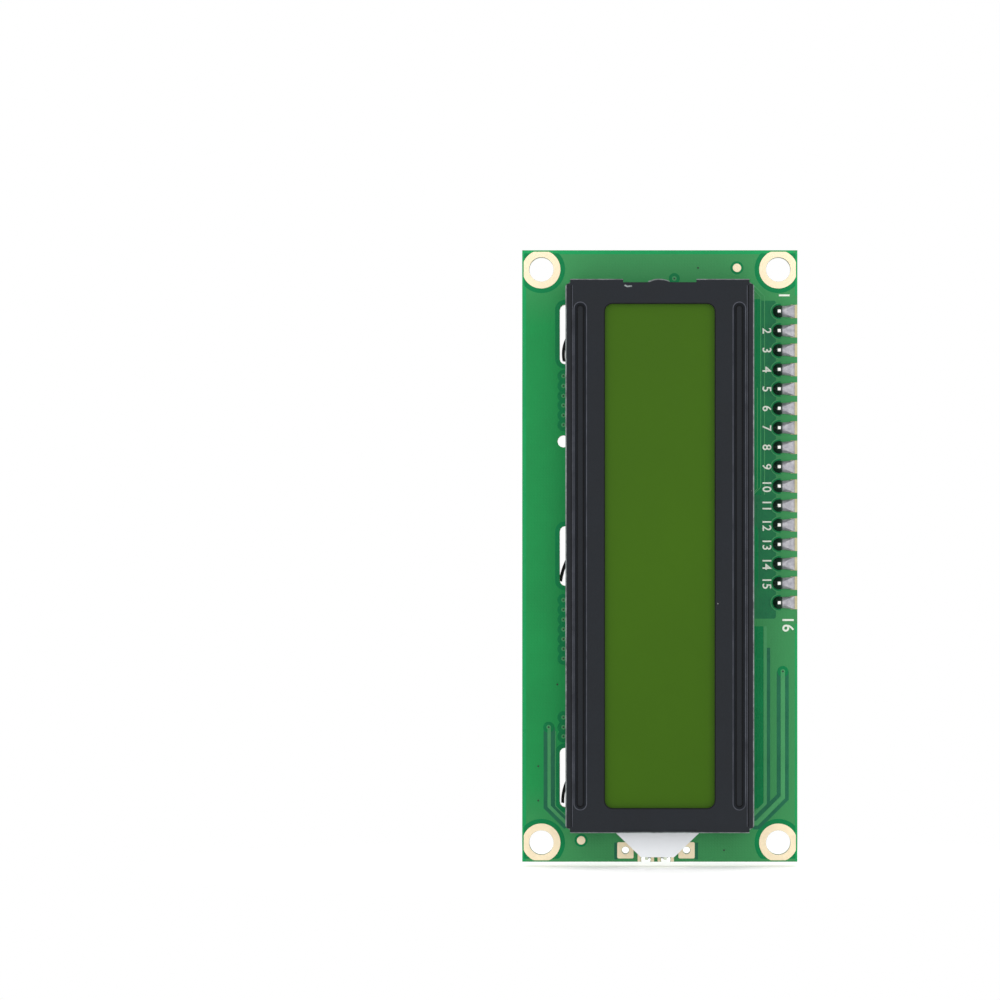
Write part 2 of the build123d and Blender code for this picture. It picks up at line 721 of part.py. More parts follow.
# Solder of the lamp's legs on the back, and the blob that bridges a split pad: eight-sided drops
link_place = (5.58, -31.7)
blob_places = (("lamp_solder", ((-1.5, -39.1, 0.6), (0.58, -38.98, 0.8))),
               ("link_solder", ((link_place[0], link_place[1], 1.0),)))
blob_height = 0.5
for name, blobs in blob_places:
    with BuildPart() as solder_blobs:
        with BuildSketch(Plane(origin=(0, board_back, 0), x_dir=(-1, 0, 0), z_dir=(0, 1, 0))):
            for blob_x, blob_z, blob_radius in blobs:
                with Locations((-blob_x, blob_z)):
                    RegularPolygon(blob_radius, joint_sides)
        extrude(amount=blob_height)
        chamfer(solder_blobs.faces().group_by(Axis.Y)[-1].edges(), 0.3)
        with Locations(*[(leg_x, board_back, tail_end_z - leg_reach) for leg_x in lamp_leg_places]):
            Box(lamp_leg_size[0], 2.0, lamp_leg_size[1], mode=Mode.SUBTRACT)
    solder_blobs.part.label = name
    export_step(solder_blobs.part, f"parts/{name}.step")
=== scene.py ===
import math

import bmesh
import bpy
import numpy as np
from bpy.props import FloatProperty, FloatVectorProperty, PointerProperty
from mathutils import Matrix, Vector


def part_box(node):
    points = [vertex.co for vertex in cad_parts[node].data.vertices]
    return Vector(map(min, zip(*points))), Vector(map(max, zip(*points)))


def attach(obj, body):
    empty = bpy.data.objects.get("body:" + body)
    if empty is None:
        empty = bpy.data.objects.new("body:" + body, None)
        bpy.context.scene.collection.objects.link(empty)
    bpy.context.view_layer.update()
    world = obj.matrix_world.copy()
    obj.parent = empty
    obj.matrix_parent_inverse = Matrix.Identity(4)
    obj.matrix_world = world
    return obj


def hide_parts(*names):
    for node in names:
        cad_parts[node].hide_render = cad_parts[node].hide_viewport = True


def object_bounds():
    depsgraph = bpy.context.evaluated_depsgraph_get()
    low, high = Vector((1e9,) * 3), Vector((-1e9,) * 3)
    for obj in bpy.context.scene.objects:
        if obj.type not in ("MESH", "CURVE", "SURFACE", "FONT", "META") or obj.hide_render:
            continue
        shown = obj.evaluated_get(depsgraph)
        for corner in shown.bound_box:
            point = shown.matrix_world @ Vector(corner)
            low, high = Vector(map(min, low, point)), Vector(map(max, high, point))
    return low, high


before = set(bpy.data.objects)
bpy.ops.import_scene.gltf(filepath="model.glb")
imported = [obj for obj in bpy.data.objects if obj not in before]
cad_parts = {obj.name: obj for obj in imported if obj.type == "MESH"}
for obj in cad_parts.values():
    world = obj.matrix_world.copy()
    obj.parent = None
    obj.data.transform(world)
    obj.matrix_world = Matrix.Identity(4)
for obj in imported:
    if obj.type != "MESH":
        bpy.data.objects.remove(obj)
cad_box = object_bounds()

bl_info = {
    "name": "Character display module looks",
    "version": (1, 0, 0),
    "blender": (4, 5, 0),
    "location": "View3D > Sidebar > Display module",
    "description": "Dresses the packed display module with pads, traces, print, solder and finishes",
    "category": "Object",
}

# Everything below is in millimetres until a mesh is written, which is in metres.
MM = 0.001
PIN_PITCH, PIN_SIZE = 2.54, 0.64
PIN_ROWS = 32.0 - PIN_PITCH * np.arange(16)
HEADER_X = 15.6
MOUNTING_HOLES = [(x, z) for x in (-15.5, 15.5) for z in (-37.5, 37.5)]
TAB_ROWS = (-29.0, 0.0, 29.0)
CONTROLLER, DRIVER = (-0.5, 12.9), (0.45, -13.3)
TRIMMER_X, TRIMMER_Z = 8.9, 24.53
EXPANDER_X, EXPANDER_Z, LEAD_PITCH = 7.68, 13.1, 1.27
CAPACITOR_X, CAPACITOR_MIDDLE = 9.76, 0.84
THIN_TRACE = 0.13
WHITE = (1, 1, 1, 1)


def display_colour(*levels):
    """A colour as a screen shows it, 0 to 255, turned into the linear values that Blender keeps."""
    share = np.array(levels) / 255
    linear = np.where(share <= 0.04045, share / 12.92, ((share + 0.055) / 1.055) ** 2.4)
    return tuple(float(value) for value in linear)


def opaque(*levels):
    """The same colour with full alpha."""
    return display_colour(*levels) + (1.0,)


def face_of(node_name, facing):
    """A face of a CAD node as (depth in mm, direction along Y): -1 faces the viewer, 1 faces back."""
    low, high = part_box(node_name)
    return ((high.y if facing > 0 else low.y) / MM, facing)


FRONT = face_of("main_board", -1)
BACK = face_of("main_board", 1)
ADAPTER = face_of("adapter_board", 1)


# Settings that a user may change

def colour_setting(name, description, *levels):
    return FloatVectorProperty(name=name, description=description, subtype="COLOR", size=3,
                               min=0.0, max=1.0, default=display_colour(*levels))


class DisplayBoardSettings(bpy.types.PropertyGroup):
    """Colours and heights of the two circuit boards."""
    front_mask: colour_setting("Front mask", "Solder mask over copper on the front", 28, 142, 74)
    back_mask: colour_setting("Back mask", "Solder mask over copper on the back", 14, 112, 70)
    gap_mask: colour_setting("Gap mask", "Solder mask where there is no copper under it", 0, 122, 68)
    trace_mask: colour_setting("Trace mask", "Solder mask over a single trace", 70, 150, 94)
    back_gap: colour_setting("Back gap", "Solder mask in the gaps on the back", 0, 82, 54)
    back_trace: colour_setting("Back trace", "Solder mask over a trace on the back", 38, 134, 86)
    edge_mask: colour_setting("Edge mask", "Solder mask on the bright strips along the edges", 22, 150, 84)
    gold: colour_setting("Gold", "Plated pads", 240, 222, 188)
    print_ink: colour_setting("Print ink", "White print on the boards", 222, 230, 216)
    adapter_mask: colour_setting("Adapter mask", "Solder mask of the adapter board", 13, 14, 19)
    copper_height: FloatProperty(name="Copper height", description="How far pads stand above the board, in mm",
                                 default=0.035, min=0.01, max=0.1)
    ink_height: FloatProperty(name="Ink height", description="How far print stands above the board, in mm",
                              default=0.05, min=0.01, max=0.1)


class DisplayPartSettings(bpy.types.PropertyGroup):
    """Colours of the bezel, the screen and the parts on the adapter."""
    bezel: colour_setting("Bezel", "Black paint of the folded bezel", 22, 26, 32)
    screen: colour_setting("Screen", "Film over the display cell", 55, 91, 8)
    light_plate: colour_setting("Light plate", "Milky plate of the backlight", 236, 238, 242)
    trimmer: colour_setting("Trimmer", "Body of the trimmer", 12, 80, 152)
    solder: colour_setting("Solder", "Tin of the soldered joints", 190, 192, 196)


class DisplayStageSettings(bpy.types.PropertyGroup):
    """Camera, lamps and floor."""
    camera_distance: FloatProperty(name="Camera distance", description="From the camera to the module",
                                   default=0.6, min=0.2, max=3.0, unit="LENGTH")
    lens: FloatProperty(name="Lens", description="Focal length in mm", default=165.1, min=20.0, max=400.0)
    lamp_power: FloatProperty(name="Lamp power", description="Power of each soft lamp",
                              default=1.0, min=0.0, max=50.0, unit="POWER")
    room_light: FloatProperty(name="Room light", description="Strength of the even light from all round",
                              default=0.84, min=0.0, max=2.0, subtype="FACTOR")


# Shapes. A shell is (points, quads, caps): rows of points, rows of four corners, and filled ends.

def pairs(numbers):
    """Numbers in a row as (x, z) points."""
    return np.reshape(np.asarray(numbers, float), (-1, 2))


def skin(rings, closed=False):
    """Joins neighbouring rings of points by quads. An open skin gets a filled face at each end."""
    rings = np.asarray(rings, float)
    count, around = rings.shape[:2]
    index = np.arange(count * around).reshape(count, around)
    here = index if closed else index[:-1]
    there = np.roll(index, -1, axis=0) if closed else index[1:]
    corners = (here, np.roll(here, -1, axis=1), np.roll(there, -1, axis=1), there)
    quads = np.stack(corners, axis=-1).reshape(-1, 4)
    return rings.reshape(-1, 3), quads, [] if closed else [index[0][::-1], index[-1]]


def on_face(outline, face, height):
    """Points (x, z) of an outline, lifted by a height above a face of a board."""
    outline = np.asarray(outline, float)
    depth = face[0] + face[1] * np.broadcast_to(height, len(outline))
    return np.column_stack([outline[:, 0], depth, outline[:, 1]])


def slab(outline, face, height):
    """A flat piece with a given outline, from the face up to the height."""
    return skin([on_face(outline, face, 0.0), on_face(outline, face, height)])


def band(inner, outer, face, height, closed=True):
    """A flat strip between two lines of points, as a loop of four-cornered sections."""
    corners = [on_face(inner, face, 0.0), on_face(outer, face, 0.0),
               on_face(outer, face, height), on_face(inner, face, height)]
    return skin(np.stack(corners, axis=1), closed)


def arc(x, z, radius, start=0.0, end=360.0, steps=32):
    """Points at equal angles on a circle; a whole turn leaves out the last one."""
    angles = np.radians(np.linspace(start, end, steps, endpoint=abs(end - start) < 360))
    return np.column_stack([x + radius * np.cos(angles), z + radius * np.sin(angles)])


def rectangle(x, z, width, height, radius=0.01, steps=4):
    """Outline of a rectangle whose corners are quarter circles."""
    radius = min(radius, width / 2, height / 2)
    across, up = width / 2 - radius, height / 2 - radius
    return np.concatenate([arc(x + side_x * across, z + side_z * up, radius, 90 * quarter, 90 * quarter + 90, steps)
                           for quarter, (side_x, side_z) in enumerate(((1, 1), (-1, 1), (-1, -1), (1, -1)))])


def disc(x, z, radius, face, height, steps=24):
    """A flat disc."""
    return slab(arc(x, z, radius, steps=steps), face, height)


def tile(x, z, width, height, face, lift, radius=0.01, steps=4):
    """A flat rectangle."""
    return slab(rectangle(x, z, width, height, radius, steps), face, lift)


def ring(x, z, inner, outer, face, height, steps=32):
    """A flat ring between two circles."""
    return band(arc(x, z, inner, steps=steps), arc(x, z, outer, steps=steps), face, height)


def mitres(path, closed=False):
    """Sum of the normals before and after each point, scaled so that a parallel line keeps its distance."""
    steps = np.roll(path, -1, axis=0) - path
    steps = steps if closed else np.vstack([steps[:-1], steps[-2]])
    normals = np.column_stack([-steps[:, 1], steps[:, 0]])
    normals /= np.linalg.norm(normals, axis=1, keepdims=True)
    before = np.roll(normals, 1, axis=0)
    if not closed:
        before[0] = normals[0]
    return (normals + before) / (1 + np.sum(normals * before, axis=1, keepdims=True))


def ribbon(path, width, face, height, closed=False):
    """A line of a given width, half of it on each side of the path, with mitred corners. A point that
    repeats the one before it is left out."""
    path = np.asarray(path, float)
    before = np.roll(path, 1, axis=0) if closed else np.vstack([path[:1] - 1, path[:-1]])
    path = path[np.linalg.norm(path - before, axis=1) > 1e-6]
    mitre = mitres(path, closed)
    return band(path - mitre * width / 2, path + mitre * width / 2, face, height, closed)


def lines(rows, face, height, rise=0.0):
    """A ribbon for each row, which holds its width and then x and z of its points. Each is higher than
    the one before by the rise, so that none lies in the plane of another."""
    return [ribbon(pairs(row[1:]), row[0], face, height + rise * place) for place, row in enumerate(rows)]


def parallel(path, count, pitch):
    """Lines side by side: the path moved along its mitres by equal steps about its middle."""
    path = np.asarray(path, float)
    return [path + mitres(path) * (place - (count - 1) / 2) * pitch for place in range(count)]


def scallops(x, rows, radius, face, height):
    """Circles that run into one another down a column: at z the half width is the largest
    sqrt(radius^2 - (z - row)^2) of all rows."""
    rows = np.asarray(rows, float)
    rise = radius * np.sin(np.radians(np.linspace(-88, 88, 21)))
    z = np.unique((rows[:, None] + rise).ravel().round(4))
    half = np.sqrt(np.clip(radius ** 2 - (z[:, None] - rows) ** 2, 1e-4, None)).max(axis=1)
    return band(np.column_stack([x - half, z]), np.column_stack([x + half, z]), face, height, closed=False)


def pillow(x, z, width, height, radius, profile, face):
    """A rounded box: the rounded rectangle drawn in by each inset of the profile and lifted by its height."""
    return skin([on_face(rectangle(x, z, width - 2 * inset, height - 2 * inset, max(radius - inset, 0.02)),
                         face, lift) for inset, lift in profile])


def drop(x, z, radius, height, face, edge=0.12, swing=0.018, steps=16, around=96):
    """A drop of resin: radius times cos(a), height times sin(a), with its outline swelling by a slow wave."""
    turn = np.linspace(0, 2 * math.pi, around, endpoint=False)
    swell = swing * (np.sin(2 * turn + x) + 0.6 * np.sin(3 * turn + z))
    rings = []
    for angle in np.radians(np.linspace(0, 86, steps)):
        reach = radius * math.cos(angle) * (1 + swell * math.cos(angle))
        outline = np.column_stack([x + reach * np.cos(turn), z + reach * np.sin(turn)])
        rings.append(on_face(outline, face, edge + (height - edge) * math.sin(angle)))
    return skin([rings[0] - [0, face[1] * edge, 0]] + rings)


def bent_line(corners, reach, steps=5):
    """A line whose corners are rounded, each by the curve (1-t)^2 A + 2t(1-t) C + t^2 B over its reach."""
    corners = np.asarray(corners, float)
    share = np.linspace(0, 1, steps)[:, None]
    parts = [corners[:1]]
    for before, corner, after in zip(corners[:-2], corners[1:-1], corners[2:]):
        start = corner + (before - corner) / np.linalg.norm(before - corner) * reach
        end = corner + (after - corner) / np.linalg.norm(after - corner) * reach
        parts.append((1 - share) ** 2 * start + 2 * share * (1 - share) * corner + share ** 2 * end)
    return np.concatenate(parts + [corners[-1:]])


def bar(x, line, width, thickness, round_off, tip=0.0, tip_length=0.45):
    """A bar carried along a line of (y, z) points at one x. Its section is a rectangle with clipped
    corners, and it narrows to the share tip over its last tip_length."""
    line = np.asarray(line, float)
    if tip:
        reach = (line[-1] - line[-2]) / np.linalg.norm(line[-1] - line[-2])
        line = np.vstack([line[:-1], line[-1] - reach * tip_length, line[-1]])
    steps = np.gradient(line, axis=0)
    steps /= np.linalg.norm(steps, axis=1, keepdims=True)
    across = np.column_stack([-steps[:, 1], steps[:, 0]])[:, None]
    clip = round_off * min(width, thickness)
    half_w, half_t = width / 2, thickness / 2
    quarter = np.array([(half_w, half_t - clip), (half_w - clip, half_t)])
    section = np.concatenate([quarter, quarter[::-1] * (-1, 1), -quarter, quarter[::-1] * (1, -1)])
    size = np.ones((len(line), 1))
    size[-1] = tip or 1.0
    rings = np.empty((len(line), len(section), 3))
    rings[..., 0] = x + size * section[:, 0]
    rings[..., 1:] = line[:, None] + (size * section[:, 1])[..., None] * across
    return skin(rings)


def numeral(text, size, x, z, turn, face, height):
    """Plain figures as a solid: a text curve made a mesh, turned in its plane and set on the face."""
    curve = bpy.data.curves.new("numeral", "FONT")
    curve.body = text
    curve.size = size
    curve.align_x = curve.align_y = "CENTER"
    curve.resolution_u = 3
    curve.offset = 0.012 * size
    curve.extrude = height / 2
    holder = bpy.data.objects.new("numeral", curve)
    mesh = bpy.data.meshes.new_from_object(holder)
    flat = np.empty(len(mesh.vertices) * 3)
    mesh.vertices.foreach_get("co", flat)
    right, high, out = flat.reshape(-1, 3).T
    cosine, sine = math.cos(math.radians(turn)), math.sin(math.radians(turn))
    points = np.column_stack([x - face[1] * (right * cosine - high * sine),
                              face[0] + face[1] * (out + height / 2), z + (right * sine + high * cosine)])
    caps = [np.array(polygon.vertices) for polygon in mesh.polygons]
    bpy.data.objects.remove(holder)
    bpy.data.curves.remove(curve)
    bpy.data.meshes.remove(mesh)
    return points, np.empty((0, 4), int), caps


def build(name, shells, finish_name, body="module", replaces=(), sharp=35.0):
    """Writes shells into one mesh at the origin, turns its faces outwards and hangs it on its body."""
    starts = np.cumsum([0] + [len(points) for points, _, _ in shells])
    points = np.concatenate([points for points, _, _ in shells]) * MM
    faces = np.concatenate([quads + start for start, (_, quads, _) in zip(starts, shells)]).tolist()
    faces += [(cap + start).tolist() for start, (_, _, caps) in zip(starts, shells) for cap in caps]
    mesh = bpy.data.meshes.new(name)
    mesh.from_pydata(points, [], faces)
    work = bmesh.new()
    work.from_mesh(mesh)
    bmesh.ops.remove_doubles(work, verts=work.verts, dist=1e-7)
    bmesh.ops.recalc_face_normals(work, faces=work.faces)
    work.to_mesh(mesh)
    work.free()
    mesh.shade_smooth()
    mesh.set_sharp_from_angle(angle=math.radians(sharp))
    piece = bpy.data.objects.new(name, mesh)
    bpy.context.scene.collection.objects.link(piece)
    piece.data.materials.append(FINISHES[finish_name])
    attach(piece, body)
    if replaces:
        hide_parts(*replaces)


# Nodes. Each helper adds what it names to a tree and gives back the socket that leaves it.

def add_node(tree, kind, inputs=None, **settings):
    """Adds a shader node, gives it its settings, and sets or links each input that is named."""
    made = tree.nodes.new("ShaderNode" + kind)
    for name, value in settings.items():
        setattr(made, name, value)
    for name, value in (inputs or {}).items():
        if isinstance(value, bpy.types.NodeSocket):
            tree.links.new(value, made.inputs[name])
        else:
            made.inputs[name].default_value = value
    return made


def maths(tree, operation, *values):
    return add_node(tree, "Math", dict(enumerate(values)), operation=operation).outputs[0]


def spread(tree, value, low, high, least=0.0, most=1.0):
    """A value between low and high, stretched to run from least to most."""
    return add_node(tree, "MapRange", {"Value": value, "From Min": low, "From Max": high,
                                       "To Min": least, "To Max": most}).outputs["Result"]


def noise(tree, vector, scale, detail, roughness=0.5):
    return add_node(tree, "TexNoise", {"Vector": vector, "Scale": scale, "Detail": detail,
                                       "Roughness": roughness}).outputs["Fac"]


def in_millimetres(tree, vector):
    """Object coordinates, which are in metres, as millimetres."""
    return add_node(tree, "VectorMath", {0: vector, "Scale": 1 / MM}, operation="SCALE").outputs[0]


def along(tree, vector, axis):
    """One coordinate of a vector in metres, in mm."""
    return add_node(tree, "SeparateXYZ", {0: in_millimetres(tree, vector)}).outputs[axis]


def mask_above(tree, vector, axis, limit, soft=0.02):
    """1 where a coordinate in mm is above the limit, 0 below it, with a soft step between them."""
    return spread(tree, along(tree, vector, axis), limit - soft, limit + soft)


def mix_colours(tree, mask, below, above):
    """The colour above where the mask is 1, and the colour below elsewhere."""
    return add_node(tree, "Mix", {"Factor": mask, 6: below, 7: above}, data_type="RGBA").outputs[2]


def mix_shaders(tree, share, first, second):
    return add_node(tree, "MixShader", {0: share, 1: first, 2: second}).outputs[0]


def clear_tree(owner):
    """The emptied node tree of a material or a world."""
    owner.use_nodes = True
    owner.node_tree.nodes.clear()
    return owner.node_tree


# Node groups that the finishes share

GROUPS = {}


def open_group(name, **inputs):
    """A new group as (group, the sockets it is given, its place in mm). Its first input is always Vector."""
    group = bpy.data.node_groups.new(name, "ShaderNodeTree")
    for socket_name, kind in {"Vector": "Vector", **inputs}.items():
        group.interface.new_socket(socket_name, in_out="INPUT", socket_type="NodeSocket" + kind)
    given = group.nodes.new("NodeGroupInput").outputs
    return group, given, in_millimetres(group, given["Vector"])


def close_group(group, key, **results):
    """Gives the group its outputs and keeps it under its key. An output named Color holds a colour."""
    for name in results:
        kind = "Color" if name == "Color" else "Float"
        group.interface.new_socket(name, in_out="OUTPUT", socket_type="NodeSocket" + kind)
    leaving = group.nodes.new("NodeGroupOutput").inputs
    for name, socket in results.items():
        group.links.new(socket, leaving[name])
    GROUPS[key] = group


def place_group(tree, key, vector, **inputs):
    """A shared group in a tree, as its outputs."""
    return add_node(tree, "Group", {"Vector": vector, **inputs}, node_tree=GROUPS[key]).outputs


def make_groups():
    """Mottling: two colours in soft patches, and the patches' own value. Specks: round ones, scattered
    thinly, 1 on a speck. Grain: the height of a fine moulded or sprayed grain over a slower unevenness.
    Weave: the height of glass cloth under the mask, two crossed waves whose peaks alternate."""
    group, given, place = open_group("Soft mottling", Scale="Float", Light="Color", Dark="Color")
    patches = spread(group, noise(group, place, given["Scale"], 4.0, 0.6), 0.32, 0.68)
    close_group(group, "mottling", Color=mix_colours(group, patches, given["Dark"], given["Light"]),
                Value=patches)

    group, given, place = open_group("Scattered specks", Scale="Float", Share="Float", Size="Float")
    cells = add_node(group, "TexVoronoi", {"Vector": place, "Scale": given["Scale"]}).outputs
    near = maths(group, "LESS_THAN", cells["Distance"], given["Size"])
    cell_value = add_node(group, "SeparateColor", {0: cells["Color"]}).outputs[0]
    chosen = maths(group, "LESS_THAN", cell_value, given["Share"])
    close_group(group, "specks", Mask=maths(group, "MULTIPLY", near, chosen))

    group, given, place = open_group("Fine grain", Scale="Float", Unevenness="Float")
    fine, slow = noise(group, place, given["Scale"], 2.0), noise(group, place, 0.35, 1.0)
    close_group(group, "grain", Height=maths(group, "MULTIPLY_ADD", slow, given["Unevenness"], fine))

    group, given, place = open_group("Glass weave", Threads="Float")
    waves = [add_node(group, "TexWave", {"Vector": place, "Scale": given["Threads"], "Distortion": 0.6,
                                         "Detail": 1.0}, wave_type="BANDS", bands_direction=axis).outputs["Fac"]
             for axis in "XZ"]
    close_group(group, "weave", Height=maths(group, "MAXIMUM", *waves))


# Finishes

FINISHES = {}


def shades(colour, amount):
    """A colour a little lighter and a little darker."""
    return [tuple(min(1.0, value * (1 + sign * amount)) for value in colour) for sign in (1, -1)]


def tones(*levels):
    """Two colours as a screen shows them, the lighter one first."""
    return display_colour(*levels[:3]), display_colour(*levels[3:])


def finish(name, colours, least, most, specular=0.5, metallic=0.0, coat=0.0, patch=0.4, grain=8.0,
           depth=0.01, uneven=1.0, specks=0.0, weave=0.0, paint=None):
    """A material: mottled colour, roughness from least to most that follows it, fine grain in a bump
    node, and specks. A paint changes the colour before the specks."""
    material = bpy.data.materials.new(name)
    tree = clear_tree(material)
    place = add_node(tree, "TexCoord").outputs["Object"]
    light, dark = (tuple(colour) + (1.0,) for colour in colours)
    mottling = place_group(tree, "mottling", place, Scale=patch, Light=light, Dark=dark)
    colour = mottling["Color"]
    if paint:
        colour = paint(tree, place, colour)
    if specks:
        dust = place_group(tree, "specks", place, Scale=1.6, Share=specks, Size=0.07)
        colour = mix_colours(tree, dust["Mask"], colour, opaque(200, 200, 195))
    rough = spread(tree, mottling["Value"], 0.0, 1.0, least, most)
    height = place_group(tree, "grain", place, Scale=grain, Unevenness=uneven)["Height"]
    if weave:
        cloth = place_group(tree, "weave", place, Threads=0.8)["Height"]
        height = maths(tree, "MULTIPLY_ADD", cloth, weave, height)
    bump = add_node(tree, "Bump", {"Height": height, "Distance": depth * MM, "Strength": 1.0})
    shader = add_node(tree, "BsdfPrincipled", {
        "Base Color": colour, "Roughness": rough, "Metallic": metallic, "Specular IOR Level": specular,
        "Coat Weight": coat, "Coat Roughness": 0.12, "Normal": bump.outputs["Normal"]})
    add_node(tree, "OutputMaterial", {"Surface": shader.outputs[0]})
    FINISHES[name] = material


def laminate_edge(tree, colour, laminate):
    """The colour on faces square to Y, and bare laminate on a board's edges."""
    normal = add_node(tree, "TexCoord").outputs["Normal"]
    across = add_node(tree, "SeparateXYZ", {0: normal}).outputs["Y"]
    facing = maths(tree, "GREATER_THAN", maths(tree, "ABSOLUTE", across), 0.5)
    return mix_colours(tree, facing, laminate, colour)


def paint_board(tree, place, colour):
    """Front colour as given and greyer near the ends and the right side, back colour behind the middle
    of the board, and laminate on the edges."""
    ends = spread(tree, maths(tree, "ABSOLUTE", along(tree, place, "Z")), 30.0, 37.0, 0.0, 0.8)
    right = spread(tree, along(tree, place, "X"), 6.0, 14.0, 0.0, 0.8)
    colour = mix_colours(tree, maths(tree, "MAXIMUM", ends, right), colour, opaque(64, 138, 84))
    back = tuple(bpy.context.scene.display_board.back_mask) + (1.0,)
    colour = mix_colours(tree, mask_above(tree, place, "Y", BACK[0] / 2), colour, back)
    return laminate_edge(tree, colour, opaque(132, 144, 86))


def paint_adapter(tree, place, colour):
    """The adapter's edge shows its pale laminate."""
    return laminate_edge(tree, colour, opaque(120, 112, 84))


def paint_strip(tree, place, colour):
    """Thin dark layers across the pink rubber."""
    layers = add_node(tree, "TexWave", {"Vector": in_millimetres(tree, place), "Scale": 1.6},
                      wave_type="BANDS", bands_direction="Z")
    return mix_colours(tree, layers.outputs["Fac"], colour, opaque(150, 60, 90))


def zone(axis, low, high=None, inside=None, outside=None, soft=0.02):
    """A paint with one colour between two limits in mm and another outside them. A colour that isn't
    given is the finish's own, and without a high limit the zone has no end."""
    def paint(tree, place, colour):
        within, beyond = (opaque(*levels) if levels else colour for levels in (inside, outside))
        if high is not None:
            within = mix_colours(tree, mask_above(tree, place, axis, high, soft), within, beyond)
        return mix_colours(tree, mask_above(tree, place, axis, low, soft), beyond, within)
    return paint


